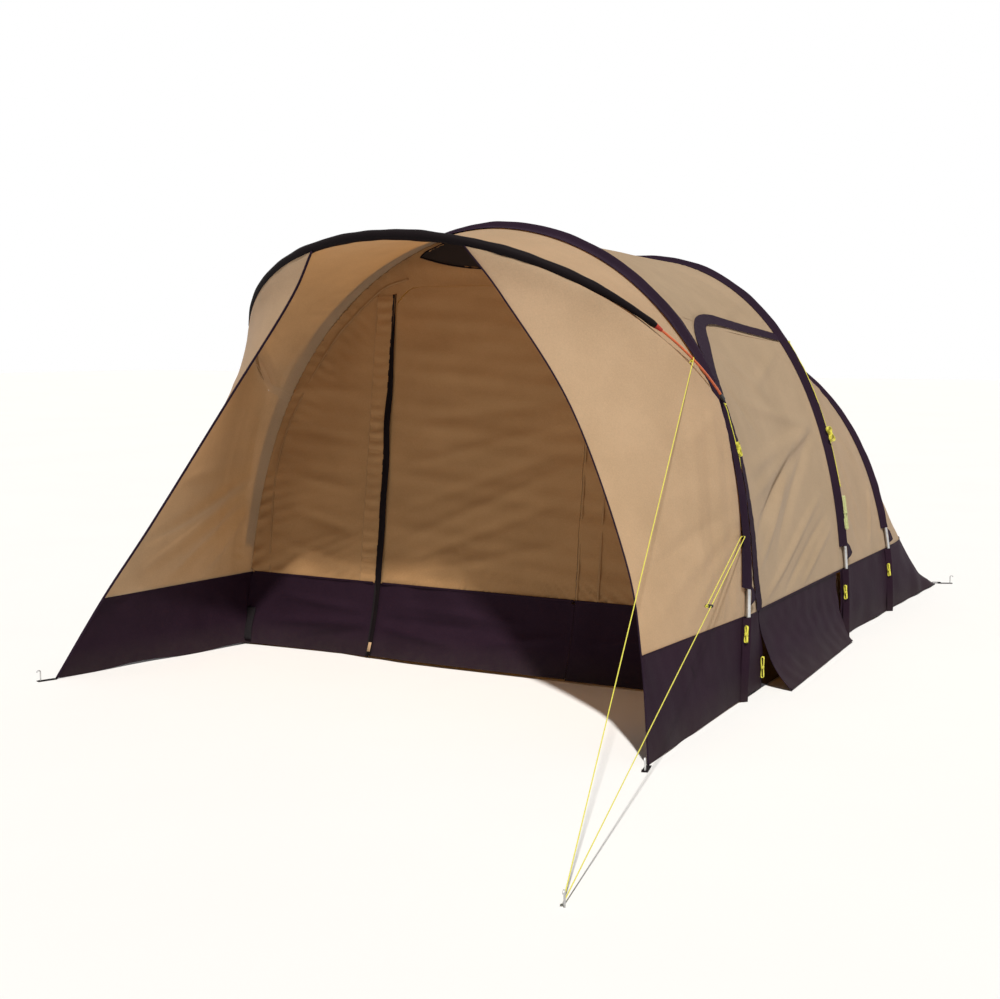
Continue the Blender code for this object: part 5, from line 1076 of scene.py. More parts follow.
def make_front_zip():
    """The door's zip: its dark waved flap, and the tape under it."""
    up = np.linspace(0.012, 1.868, 150)
    narrow = np.clip((up[-1] - up) / 0.55, 0.12, 1) * (0.62 + 0.38 * eased((up - WALL_SEAM + 0.03) / 0.06))
    wave = 0.005 * np.sin(up * 9.0) * np.exp(-((up - 1.15) / 0.30) ** 2)
    x = ZIP_X + 0.006 + wave + 0.002 * np.sin(up * 3.1)
    out = 0.0115 + 0.003 * np.sin(up * 17.0) * narrow + hem_flare(x, up)
    strap("front_zip_flap", on_wall(x, up, out), (1, 0, 0), 0.0185 * narrow, 0.0022, "black", "front_door")
    up = np.linspace(0.004, 1.865, 90)
    line = on_wall(ZIP_X - 0.0125, up, 0.005 + hem_flare(ZIP_X, up))
    strap("front_zip_tape", line, (1, 0, 0), 0.0055, 0.0014, "webbing")


def make_zip_foot_tab():
    up = np.array([0.075, 0.055, 0.028])
    line = on_wall(np.array([-0.585, -0.586, -0.588]), up, 0.012 + hem_flare(-0.586, up))
    strap("zip_foot_tab", line, (1, 0, 0), 0.009, 0.003, "tan", "front_door")


def make_placket():
    """The puckered strip beside the zip, with its two stitched edges."""
    ups, xs = np.linspace(WALL_SEAM + 0.004, 1.86, 150), np.linspace(-0.700, -0.604, 12)
    grid = on_wall(*np.meshgrid(xs, ups), 0.0050)
    across, _, up, _ = edge_distances(grid)
    lift = puckers(up, np.abs(across - 0.048), 0.045, 0.0030, 0.06, 46) + ripple(grid, 0.12, 0.0012, 47)
    panel("zip_placket", grid, "wall", lift, held="hung", rests_on=["front_wall_cloth"], outward=(0, -1, 0))
    for name, x in (("outer", -0.702), ("inner", -0.606)):
        strap(f"placket_edge_{name}", on_wall(x, ups, 0.0048), (1, 0, 0), 0.0035, 0.0022, "seam")


def make_wall_seams(hinge):
    """The raised seams of the front wall: two arched, two upright, and the one over the mud strips."""
    marks = [(1.296, WALL_SEAM), (1.306, 0.62), (1.299, 0.907), (1.252, 1.12), (1.180, 1.285), (1.084, 1.455),
             (0.963, 1.632), (0.862, 1.74), (0.754, 1.835), (0.655, 1.905), (0.52, 1.945)]
    for side, sign in BOTH_SIDES:
        x, up, _ = smooth_line([(sign * x, up, 0) for x, up in marks], 10).T
        line = on_wall(x, up, 0.0042)
        across = np.cross(np.gradient(line, axis=0), (0, -LEAN_COS, LEAN_SIN))
        strap(f"wall_arch_seam_{side}", line, across, 0.0055, 0.0024, "seam")
    rise = np.linspace(WALL_SEAM, 1.80, 80)
    for name, x in (("hinge", HINGE_X + 0.008), ("side", 0.682)):
        strap(f"wall_seam_{name}", on_wall(x, rise, 0.0040), (1, 0, 0), 0.0050, 0.0022, "seam")
    for name, first, last, body, bend in (
            ("left", -1.40, ZIP_X - 0.03, "tent", None), ("right", HINGE_X, 1.40, "tent", None),
            ("door", ZIP_X + 0.026, HINGE_X - 0.004, "front_door", hinge)):
        line = on_wall(np.linspace(first, last, 60), WALL_SEAM, 0.0030)
        strap(f"wall_mud_seam_{name}", line, (0, 0, 1), SEAM_HALF_WIDTH, SEAM_THICKNESS, "mud", body, bend,
              (0, -1, 0))


def make_corner_strap():
    rise = np.linspace(0.02, 0.19, 16)
    x = -1.375 - 0.012 * (rise - 0.02) / 0.17
    line = on_wall(x, rise, 0.012 + hem_flare(x, rise) + 0.004 * np.sin(rise * 28))
    strap("porch_corner_strap", line, (1, 0, 0), 0.026 + 0.004 * np.cos(rise * 30), 0.003, "webbing")


def make_rear_tab():
    """The webbing that joins the rear mud wall's corner to its strap."""
    end = np.array(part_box("rear_corner_strap_right")).mean(0)
    points = np.array([vertex.co for vertex in bpy.data.objects["rear_mud_cloth"].data.vertices])
    corner = points[np.argmin(length_of(points - end))]
    way = unit((end - corner) * (1, 1, 0))
    line = corner + way * np.linspace(-0.035, 0.022, 10)[:, None]
    line[:, 2] = np.maximum(line[:, 2], 0.004) + 0.002
    strap("rear_corner_webbing", line, (-way[1], way[0], 0), 0.0115, 0.0025, "webbing")


def make_sleeve_tails():
    """Each sleeve's lower end flares out behind its pole, and tapers to the pole's foot."""
    rows = np.linspace(SLEEVE_ROW + 0.2, SEAM_ROW + 0.25, 22)
    down = np.linspace(0, 1, len(rows))
    widths = np.interp(rows, (2.25, 2.45, 2.62, 2.88, 3.20), (0.040, 0.085, 0.124, 0.088, 0.053))
    height = 0.019 * eased(np.minimum(down, 1 - down) / 0.3) - 0.010
    inner, narrowest = 0.013, 0.014
    for name, arch in ARCHES.items():
        size = 0.72 if arch is FRONT else 1.0
        reach = np.maximum(widths * size, narrowest) - inner
        for side, sign in BOTH_SIDES:
            track = rows if sign > 0 else LAST_ROW - rows
            point, out, _ = arch_track(arch, track)
            way = outermost(skin_way(arch, track, 1), out, 5)
            base = point + out * height[:, None]
            grid = np.stack([base + way * (inner + reach * share)[:, None] + out * 0.002 * math.sin(6 * share)
                             for share in np.linspace(0, 1, 7)], 1)
            panel(f"{name}_sleeve_tail_{side}", grid, "sleeve", np.zeros(grid.shape[:2]), held="hung",
                  rests_on=[f"{name}_pole"], outward=(sign, 0, 0))


def door_bend(sign):
    """Where a side door's cloth starts and ends its turn about its hinge."""
    y = MIDDLE.foot_y - SIDE_DOOR_HINGE
    middle_x, middle_height = 1.28, 0.8
    return (sign * middle_x, y, middle_height), (sign * middle_x, y - HINGE_BEND, middle_height)


def make_bay_one():
    rows = net_rows(SEAM_ROW, LAST_ROW - SEAM_ROW)
    first, last = (edge[:, None] for edge in door_edges(rows))
    fore_cells, door_cells, aft_cells = 10, 75, 4
    counts = (fore_cells, door_cells, aft_cells)
    before, between, after = (np.linspace(0, 1, count + 1)[None] for count in counts)
    shares = np.concatenate([first * before, (first + (last - first) * between)[:, 1:],
                             (last + (1 - last) * after)[:, 1:]], 1)
    grid = bay_one(rows[:, None], shares)
    middle_row = (rows[:-1] + rows[1:]) / 2
    beside = (middle_row < LEVEL_ROW) | (middle_row > LAST_ROW - LEVEL_ROW)
    keep = np.ones((len(rows) - 1, grid.shape[1] - 1), bool)
    keep[np.ix_(beside, range(fore_cells, fore_cells + door_cells))] = False
    table = [(9.6, 0.12, 14.5, 0.42, 0.006, 0.040), (10.4, 0.90, 14.2, 0.55, -0.006, 0.045),
             (9.4, 0.5, 10.6, 0.92, 0.004, 0.030), (9.5, 0.35, 12.5, 0.08, -0.004, 0.030)]
    lines = folds_on(bay_one, table) + folds_on(bay_one, table, LAST_ROW, -1)
    lift = folds(grid, lines) + ripple(grid, 0.55, 0.0024, 51)
    lift += seam_gathers(grid, 0.055, 0.0036, 0.055, 52, (FRONT_SLEEVE_EDGE, SLEEVE_EDGE))
    lift *= beside_sleeves(grid, FRONT_SLEEVE_EDGE, SLEEVE_EDGE)
    panel("bay_one_cloth", grid, "cotton", lift, keep=keep, replaces=["bay_one_roof"],
          rests_on=["front_sleeve", "middle_sleeve"], outward=(0, 0, 1))


def side_door_folds():
    """Folds of a right side door: a fan from the toggle at its rear edge, and long slanting ones below."""
    ends = ((4.9, 0.12), (4.2, 0.16), (5.6, 0.14), (3.4, 0.30), (7.2, 0.30))
    toggle = spot(bay_one, 6.35, 0.915)
    lines = fan(toggle, [spot(bay_one, row, share) for row, share in ends], 0.010, 0.030, 61)
    return lines + folds_on(bay_one, [
        (6.0, 0.70, 4.0, 0.12, -0.0070, 0.026), (5.5, 0.60, 3.3, 0.13, 0.0080, 0.026),
        (4.6, 0.86, 2.25, 0.18, 0.0085, 0.022), (4.1, 0.90, 2.15, 0.36, -0.0070, 0.022),
        (3.7, 0.92, 2.15, 0.54, 0.0065, 0.020), (8.6, 0.14, 7.2, 0.60, 0.0045, 0.030),
        (8.7, 0.88, 7.5, 0.45, 0.0045, 0.030), (7.9, 0.10, 6.2, 0.40, -0.0050, 0.028)])


# Folds of a right side door's mud flap: start, end, height and half width.
FLAP_FOLDS = [((1.50, -1.60, 0.06), (1.42, -1.30, 0.34), 0.009, 0.026),
              ((1.50, -1.35, 0.04), (1.40, -1.05, 0.33), -0.008, 0.028),
              ((1.48, -1.05, 0.05), (1.36, -0.80, 0.34), 0.009, 0.026),
              ((1.46, -0.75, 0.04), (1.34, -0.55, 0.34), -0.007, 0.026),
              ((1.44, -1.62, 0.30), (1.38, -0.9, 0.14), 0.007, 0.018),
              ((1.42, -1.2, 0.22), (1.36, -0.42, 0.10), -0.006, 0.018)]


def side_door_cloth():
    """The right side door's grid and its folds."""
    rows = net_rows(SEAM_ROW, LEVEL_ROW, 13)
    first, last = (edge[:, None] for edge in door_edges(rows))
    first, last = first + 0.0012, last - 0.0006
    grid = bay_one(rows[:, None], first + (last - first) * np.linspace(0, 1, 84)[None])
    lift = folds(grid, side_door_folds()) + ripple(grid, 0.40, 0.0022, 62)
    lift += seam_gathers(grid, 0.045, 0.0022, 0.04, 63, (0.02, 0.0))
    return grid, lift * beside_sleeves(grid, 0.02, 0.0)


def side_door_flap():
    """The right mud flap's grid, which hangs out at its foot, and its folds."""
    rows, across = np.linspace(0, SEAM_ROW, 24), np.linspace(0, 1, 84)[None]
    first, last = (edge[:, None] for edge in door_edges(rows))
    flap = bay_one(rows[:, None], first + (last - first) * across, 0.0)
    fall = 1 - rows[:, None] / SEAM_ROW
    rear, front_flare, rear_flare = MIDDLE.foot_y - SIDE_DOOR_HINGE - 0.070, 0.150, 0.095
    flap[..., 1] = flap[:, :1, 1] + (rear - flap[:, :1, 1]) * across
    flap[..., 0] += (front_flare + (rear_flare - front_flare) * across) * fall ** 3
    flap[..., 2] = np.maximum(flap[..., 2], 0.007)
    lift = folds(flap, FLAP_FOLDS) + ripple(flap, 0.15, 0.0022, 64)
    return flap, lift * (0.25 + 0.75 * eased(np.minimum(fall * 5, 1)))


def make_side_doors():
    (grid, lift), (flap, flap_lift) = side_door_cloth(), side_door_flap()
    seam = grid[0] + np.array([0.0015, 0, 0])
    for side, sign in BOTH_SIDES:
        body, bend = f"{side}_door", door_bend(sign)
        panel(f"side_door_cloth_{side}", sided(grid, sign), "cotton", lift, body, [f"side_door_{side}"],
              rests_on=["middle_sleeve"], bend=bend, outward=(sign, 0, 0))
        panel(f"side_door_skirt_{side}", sided(flap, sign), "mud", flap_lift, body,
              [f"side_door_mud_flap_{side}"], held="hung", rests_on=[f"side_door_cloth_{side}"], bend=bend,
              outward=(sign, 0, 0))
        strap(f"side_door_seam_{side}", sided(seam, sign), (0, 0, 1), SEAM_HALF_WIDTH, SEAM_THICKNESS, "mud",
              body, bend, sided(side_normals(seam), sign))
        edge = sided(flap[:, 0] + np.array([0.002, 0.003, 0]), sign)
        strap(f"side_flap_binding_{side}", edge, (0, 1, 0), 0.004, 0.0018, "sleeve", body)
        make_zip_cover(side, sign, body, bend)


def make_zip_cover(side, sign, body, bend):
    """The dark strip over a side door's zip, up its free edge and back along its top."""
    def over(row, distance):
        share = np.array([distance / bay_one_length(row)])
        return bay_one(np.array([row]), share, inset=0.0085)[0]

    def edges(height):
        edge = float(door_station(np.array(height)))
        hidden = min(1.0, max(0.0, (edge - COVER_START) / COVER_LAP))
        return max(COVER_START, edge - COVER_LAP), edge + 0.008 + 0.032 * hidden

    lines = []
    for k in range(10):
        row = SEAM_ROW + k / 2
        fore, aft = edges(float(on_arch(FRONT, row, SKIN)[2]))
        lines.append([over(row, distance) for distance in (fore, (fore + aft) / 2, aft)])
    last = float(bay_one_length(LEVEL_ROW)) - 0.064
    for (outer_row, outer), (inner_row, inner) in ZIP_COVER_CORNER + [((9.28, last), (9.02, last))]:
        lines.append([over(outer_row, outer), over((outer_row + inner_row) / 2, (outer + inner) / 2),
                      over(inner_row, inner)])
    first, middle, final = (smooth_line(column, 6) for column in zip(*lines))
    grid = np.stack([first, (first + middle) / 2, middle, (middle + final) / 2, final], 1)
    across, _, up, _ = edge_distances(grid)
    lift = puckers(up, np.abs(across - 0.03), 0.05, 0.0020, 0.05, 66)
    panel(f"side_zip_cover_{side}", sided(grid, sign), "sleeve", lift, body, [f"side_door_zip_cover_{side}"],
          rests_on=[f"side_door_cloth_{side}"], bend=bend, outward=(sign, 0, 0.2))


def make_bay_two():
    rows = net_rows(SEAM_ROW, LAST_ROW - SEAM_ROW)
    grid = bay_two(rows[:, None], np.linspace(0, 1, 52)[None])
    table = [(7.2, 0.10, 3.4, 0.55, 0.007, 0.030), (6.4, 0.08, 2.5, 0.40, -0.006, 0.028),
             (8.6, 0.10, 5.4, 0.85, 0.006, 0.034), (5.2, 0.90, 2.4, 0.62, 0.006, 0.026),
             (9.8, 0.12, 13.6, 0.60, 0.005, 0.036), (10.6, 0.92, 14.0, 0.40, -0.005, 0.036)]
    lines = folds_on(bay_two, table) + folds_on(bay_two, table, LAST_ROW, -1)
    lift = folds(grid, lines) + ripple(grid, 0.40, 0.0022, 71) + seam_gathers(grid, 0.055, 0.0034, 0.05, 72)
    lift *= beside_sleeves(grid, SLEEVE_EDGE, SLEEVE_EDGE)
    panel("bay_two_cloth", grid, "cotton", lift, replaces=["bay_two_skin"],
          rests_on=["middle_sleeve", "rear_sleeve"], outward=(0, 0, 1))


# Folds of the tail, as shares of its rows and its ribs on one side: start, end, height and half width.
TAIL_FOLDS = [(0.02, 0.27, 0.62, 0.10, 0.008, 0.032), (0.02, 0.29, 0.70, 0.22, -0.007, 0.030),
              (0.03, 0.31, 0.60, 0.36, 0.007, 0.034), (0.45, 0.03, 0.10, 0.20, 0.006, 0.028),
              (0.30, 0.03, 0.03, 0.15, -0.006, 0.024)]


def make_tail():
    squeeze = (REAR.height - SKIN - SEAM_HEIGHT) / (REAR.height - SEAM_HEIGHT)
    heights = on_arch(REAR, net_rows(SEAM_ROW, CROWN_ROW, 9))[:, 2]
    heights = SEAM_HEIGHT + (heights - SEAM_HEIGHT) * squeeze
    grid = tail(np.minimum(heights, REAR.height - SKIN - 2e-4), tail_turns(TAIL_RIBS))
    grid[:, (0, -1), 1] = REAR.foot_y

    def at(row_share, rib_share):
        return grid[int(row_share * (len(grid) - 1)), int(rib_share * (grid.shape[1] - 1))]

    lines = [(at(a, base + way * b), at(c, base + way * d), height, width)
             for base, way in ((0, 1), (1, -1)) for a, b, c, d, height, width in TAIL_FOLDS]
    lift = folds(grid, lines) + ripple(grid, 0.38, 0.0024, 81)
    lift *= eased((grid[..., 1] - REAR.foot_y - 0.062) / 0.04)
    panel("tail_cloth", grid, "cotton", lift * edge_fade(grid, 0.02), replaces=["tail_skin"],
          rests_on=["rear_sleeve"], outward=(0, 0.6, 1))


def make_rear_mud_wall():
    """The mud wall from one side door round the tail to the other, and the seam above it."""
    rows = np.linspace(0, SEAM_ROW, 20)
    last = door_edges(rows)[1][:, None]
    ahead = bay_one(rows[:, None], last + (1 - last) * np.linspace(0, 1, 5)[None], 0.0)
    beside = bay_two(rows[:, None], np.linspace(0, 1, 50)[None], 0.0)
    right = np.concatenate([ahead, beside[:, 1:-1]], 1)
    round_tail = tail(SEAM_HEIGHT * rows / SEAM_ROW, tail_turns(TAIL_RIBS))
    mud = np.concatenate([right, round_tail, mirrored(right)[:, ::-1]], 1)
    up = np.broadcast_to(rows[:, None] / SEAM_ROW, mud.shape[:2])
    wave = ripple(mud * np.array([1, 1, 0]), 0.36, 0.007, 83)
    lift = ripple(mud, 0.16, 0.0024, 84) * edge_fade(mud, 0.012) + wave * (1 - up) ** 2
    panel("rear_mud_cloth", laid_hem(mud, wave, up), "mud", lift, held="hung",
          replaces=["rear_mud_wall"], rests_on=["middle_pole", "rear_pole"], outward=(0, 1, 0.2))
    out = unit(np.cross(np.gradient(mud[-1], axis=0), (0, 0, 1.0)))
    strap("rear_seam", mud[-1] + out * 0.001, (0, 0, 1), SEAM_HALF_WIDTH, SEAM_THICKNESS, "mud", out=out)


# Sleeves, poles and hoop

def front_skin_way(rows):
    """The directions in which the porch's mud walls, wings and roof leave the front arch."""
    own = on_arch(FRONT, rows, SKIN)
    found, low = np.zeros(own.shape), np.minimum(rows, LAST_ROW - rows)
    canopy_rows, mud_rows = low >= PIVOT_ROW, low <= SEAM_ROW
    for name, wanted in (("mud", mud_rows), ("wing", ~mud_rows & ~canopy_rows), ("canopy", canopy_rows)):
        if not wanted.any():
            continue
        left = (rows[wanted] > CROWN_ROW) & (name != "canopy")
        if name == "canopy":
            pair = canopy(rows[wanted], np.array([0.0, 0.05]))
        elif name == "mud":
            v = low[wanted] / SEAM_ROW
            pair = wing_mud(v, np.array([0.0, 0.05]), np.array([0.0, 1.0]))[:, :2][:, ::-1]
        else:
            pair = wing((low[wanted] - SEAM_ROW) / (PIVOT_ROW - SEAM_ROW), np.array([0.0, 0.07]))
        pair[left] = mirrored(pair[left])
        found[wanted] = unit(pair[:, 1] - pair[:, 0])
    return found


def skin_way(arch, rows, side):
    """The directions in which the skin leaves an arch forwards, -1, or backwards, 1."""
    if arch is FRONT and side < 0:
        return front_skin_way(rows)
    step, own = 0.05, on_arch(arch, rows, SKIN)
    if arch is REAR and side > 0:
        near, far = tail_section(REAR.foot_y), tail_section(REAR.foot_y + step)
        scale = [(b - SKIN) / (a - SKIN) for a, b in zip(near, far)]
        return unit(own * (scale[0] - 1, 0, scale[1] - 1) + np.array([0, step, 0]))
    share = step if side > 0 else 1 - step
    surface = bay_one if arch is FRONT or (arch is MIDDLE and side < 0) else bay_two
    return unit(surface(rows, share) - own)


def outermost(ways, out, reach):
    """Directions eased along an arch, each as far out as its neighbours', so that a sleeve clears all."""
    rise = (ways * out).sum(-1)
    found = ways.copy()
    for k in range(len(ways)):
        low, high = max(0, k - reach), min(len(ways), k + reach + 1)
        found[k] = ways[low + int(np.argmax(rise[low:high]))]
    kernel = np.ones(2 * reach + 1) / (2 * reach + 1)
    padded = np.pad(found, ((reach, reach), (0, 0)), mode="edge")
    return unit(np.stack([np.convolve(padded[:, k], kernel, "valid") for k in range(3)], -1))


def lips(widths):
    """A sleeve's sections on one side of its pole, from the stitched edge inwards: distance and height."""
    return np.array([[(width, 0.0008), (width + 0.0005, 0.0034), (width - 0.004, 0.0044),
                      (width - 0.007, 0.0032), (width - 0.011, 0.0042), ((width + 0.034) / 2, 0.0044),
                      (0.031, 0.0052), (0.024, 0.0092), (0.0185, 0.0165)] for width in widths])


def make_sleeve(name, arch, rows, laps, finish, replaced, seed, ripples=0.0016):
    """A sleeve over a pole: two stitched edges along the skins, and a ridge round the pole."""
    point, out, forward = arch_track(arch, rows)
    base = point - out * (SKIN - 0.0012)
    waves = ripple(point, 0.09, ripples, seed) + ripple(point, 0.28, ripples, seed + 1)
    sides = []
    for side, lap in zip((-1, 1), laps):
        way = outermost(skin_way(arch, rows, side), out, 5)
        section = lips(np.broadcast_to(lap, rows.shape))
        section[:, 2:, 1] += (waves * 0.8)[:, None]
        sides.append(base[:, None] + way[:, None] * section[..., :1] + out[:, None] * section[..., 1:])
    ridge = np.stack([point + (out * math.cos(turn) + forward * math.sin(turn))
                      * (SLEEVE_RADIUS + 0.6 * waves[:, None])
                      for turn in np.radians((52, 30, 10, -10, -30, -52))], 1)
    grid = np.concatenate([sides[0], ridge, sides[1][:, ::-1]], 1)
    panel(name, grid, finish, np.zeros(grid.shape[:2]), replaces=[replaced],
          rests_on=[replaced.split("_")[0] + "_pole"], outward=(0, 0, 1))


def front_widths(rows):
    """The front sleeve's laps before and behind its pole, wider above the hoop's pivots."""
    above = np.clip((np.minimum(rows, LAST_ROW - rows) - PIVOT_ROW) / 2, 0, 1)
    return [lap + FRONT_SLEEVE_WIDENING * eased(above) for lap in FRONT_SLEEVE_LAPS]


def make_arches():
    for name, arch in ARCHES.items():
        line = arch_track(arch, np.linspace(0, LAST_ROW, 361))[0]
        line[:, 2] += 0.0012
        tube(f"{name}_pole_tube", line, POLE_RADIUS, "steel", 14, [f"{name}_pole"])
        rows = np.linspace(SLEEVE_ROW, LAST_ROW - SLEEVE_ROW, 340)
        laps = front_widths(rows) if arch is FRONT else (SLEEVE_LAP, SLEEVE_LAP)
        make_sleeve(f"{name}_sleeve_cloth", arch, rows, laps, "sleeve", f"{name}_sleeve", 91)
        for side, first, last in (("right", 0.0, SEAM_ROW), ("left", LAST_ROW, LAST_ROW - SEAM_ROW)):
            make_sleeve(f"{name}_pocket_{side}", arch, np.linspace(first, last, 24), (POCKET_LAP, POCKET_LAP),
                        "mud", f"{name}_pole_pocket_{side}", 95, 0.0008)


def make_hoop():
    line = hoop_point(np.linspace(HOOP_ROD_START, math.pi - HOOP_ROD_START, 200))
    tube("hoop_rod_tube", line, 0.0056, "rod", 12, ["hoop_rod"])
    angles = np.linspace(HOOP_SLEEVE_START, math.pi - HOOP_SLEEVE_START, 260)
    line = hoop_point(angles)
    waves = ripple(line, 0.11, 0.0013, 97) + ripple(line, 0.35, 0.0010, 98)
    run = np.minimum(angles - angles[0], angles[-1] - angles)
    taper = (0.62 + 0.38 * eased(run / math.radians(22))) * (0.80 + 0.20 * eased(run / 0.02))
    tube("hoop_sleeve_cloth", line, (0.0235 + waves) * taper, "black", 18, ["hoop_sleeve"], up=HOOP_NORMAL)
    for side, sign in BOTH_SIDES:
        cuff = sided(hoop_point(HOOP_SLEEVE_START + np.linspace(-0.030, 0.004, 12)), sign)
        tube(f"hoop_cuff_{side}", cuff, np.linspace(0.0080, 0.0130, 12), "red_cuff", 14)


# Floor and bedroom

def make_floor():
    tail_line = tail(np.array([0.004]), tail_turns(60), 0.024)[0]
    front, corner = np.array([1.43, -2.0]), np.array([1.284, MIDDLE.foot_y])
    outline = [front, corner, *tail_line[:, :2], corner * (-1, 1), front * (-1, 1)]
    flat, faces = trimmed(np.array(outline), [], 0.045)
    points = np.concatenate([flat, np.zeros((len(flat), 1))], 1)
    points[:, 2] = 0.0040 + ripple(points, 0.30, 0.0012, 101)
    made = piece("groundsheet", points, faces, "floor", flat, replaces=["floor"])
    declare_sheet(made, *np.ptp(flat, axis=0).tolist(), cells_area(points, faces), "laid", [])


def make_inner_tent():
    start, depth, gap, foot = MIDDLE.foot_y + 0.09, 1.62, 0.075, 0.0060
    turn = np.linspace(0, math.pi, 71)

    def hoop(y, scale):
        if y < REAR.foot_y:
            share = (y - MIDDLE.foot_y) / (REAR.foot_y - MIDDLE.foot_y)
            half = MIDDLE.half_width + (REAR.half_width - MIDDLE.half_width) * share
            top = MIDDLE.height + (REAR.height - MIDDLE.height) * share
        else:
            half, top = tail_section(np.array(y))
        arc = Arch(float(half - gap) * scale, float(top - gap) * scale, REAR.legs, REAR.roof, y, 0.0, 1.0)
        line = arch_curve(arc, turn)[0]
        line[:, 2] = np.maximum(line[:, 2], foot)
        return line

    columns = [hoop(start, scale) for scale in np.linspace(0.66, 1.0, 18)]
    columns += [hoop(start + depth * share, 1.0) for share in np.linspace(0, 1, 60)[1:]]
    back = [hoop(start + depth, scale) for scale in (0.85, 0.7, 0.55, 0.4, 0.25, 0.1, 0.02)]
    columns += [line + np.array([0, 0.04 * (k + 1) / 7, 0]) for k, line in enumerate(back)]
    grid = np.stack(columns, 1)
    lift = ripple(grid, 0.34, 0.0050, 103) * edge_fade(grid, 0.04)
    panel("bedroom_cloth", grid, "inner", lift, replaces=["inner_tent"], held="hung",
          rests_on=["middle_pole", "rear_pole"], outward=(0, 0, 1))
    mouth = hoop(start, 0.66)
    across = np.cross(np.gradient(mouth, axis=0), (0, 1.0, 0))
    strap("bedroom_door_binding", mouth, across, 0.008, 0.002, "webbing", out=(0, -1, 0))


# Lines and hanks

def centreline(node, start):
    """The middle line of a CAD tube, from its end nearest a point."""
    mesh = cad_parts[node].data
    places = np.array([vertex.co for vertex in mesh.vertices])
    keys, index = np.unique(np.round(places, 5), axis=0, return_inverse=True)
    index = index.ravel()
    beside = [set() for _ in keys]
    for edge in mesh.edges:
        a, b = (int(index[k]) for k in edge.vertices)
        beside[a].add(b)
        beside[b].add(a)
    first = keys[np.argmin(length_of(keys - np.asarray(start)))]
    layer = set(np.nonzero(length_of(keys - first) < 1.1 * ROPE_DIAMETER)[0].tolist())
    seen, line = set(layer), []
    while layer:
        line.append(keys[list(layer)].mean(0))
        layer = {k for a in layer for k in beside[a]} - seen
        seen |= layer
    return np.array(line)


def knot(name, centre, along):
    """A small knot: a few tight turns of the line."""
    radius, turns = 0.0045, 2.4
    along = unit(np.asarray(along, float))
    side = unit(np.cross(along, (0.3, 0.2, 0.9)))
    a = np.linspace(0, 2 * math.pi * turns, 44)[:, None]
    ring = side * np.cos(a) * radius + np.cross(along, side) * np.sin(a) * radius
    return tube(name, centre + ring + along * (a / a.max() - 0.5) * 0.011, 0.0021, "rope", 8)


def line_piece(name, route, node, steps):
    """A rope along a route."""
    route = smooth_line(route, steps)
    made = tube(name, route, ROPE_DIAMETER / 2, "rope", 10, [node])


def evened(line, step):
    """A line with points added on its long spans."""
    found = [line[0]]
    for a, b in zip(line, line[1:]):
        count = max(1, int(length_of(b - a) / step))
        found += [a + (b - a) * k / count for k in range(1, count + 1)]
    return np.array(found)


def rounded(line, step, rounds):
    """A line with its corners rounded between its two ends."""
    line = evened(line, step)
    for _ in range(rounds):
        line[1:-1] = (line[:-2] + 2 * line[1:-1] + line[2:]) / 4
    return line


def make_guy_lines():
    peg = np.array(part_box("guy_peg")).mean(0)
    lower = evened(centreline("guy_line_lower", peg), 0.05)
    pieces = [knot("guy_runner_knot", lower[-1], lower[-1] - lower[-3]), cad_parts["guy_runner"]]
    line_piece("lower_guy_line", lower, "guy_line_lower", 2)
    upper = evened(centreline("guy_line_upper", peg)[::-1], 0.05)
    upper = np.vstack([rounded(upper[:25], 0.0025, 6), upper[25:]])
    tail_points = upper[0] + np.array([(0, 0, 0), (-0.006, -0.010, -0.012), (-0.008, -0.022, -0.040),
                                       (-0.004, -0.028, -0.075)])
    pieces = [knot("upper_guy_knot", upper[0], upper[1] - upper[0]),
              tube("upper_guy_tail", smooth_line(tail_points, 6), 0.0019, "rope", 8)]
    line_piece("upper_guy_line", upper, "guy_line_upper", 2)


def make_hanging_lines():
    for name, clear_of_sleeve in (("front", (0.011, 0.0, 0.003)), ("middle", (0, 0, 0))):
        low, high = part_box(f"{name}_hank_line")
        route = centreline(f"{name}_hank_line", (low[0], (low[1] + high[1]) / 2, high[2]))
        route += np.array(clear_of_sleeve) * np.linspace(1, 0.3, len(route))[:, None]
        knots = [knot(f"{name}_line_knot", route[0], route[1] - route[0])]
        line_piece(f"{name}_hanging_line", route, f"{name}_hank_line", 4)


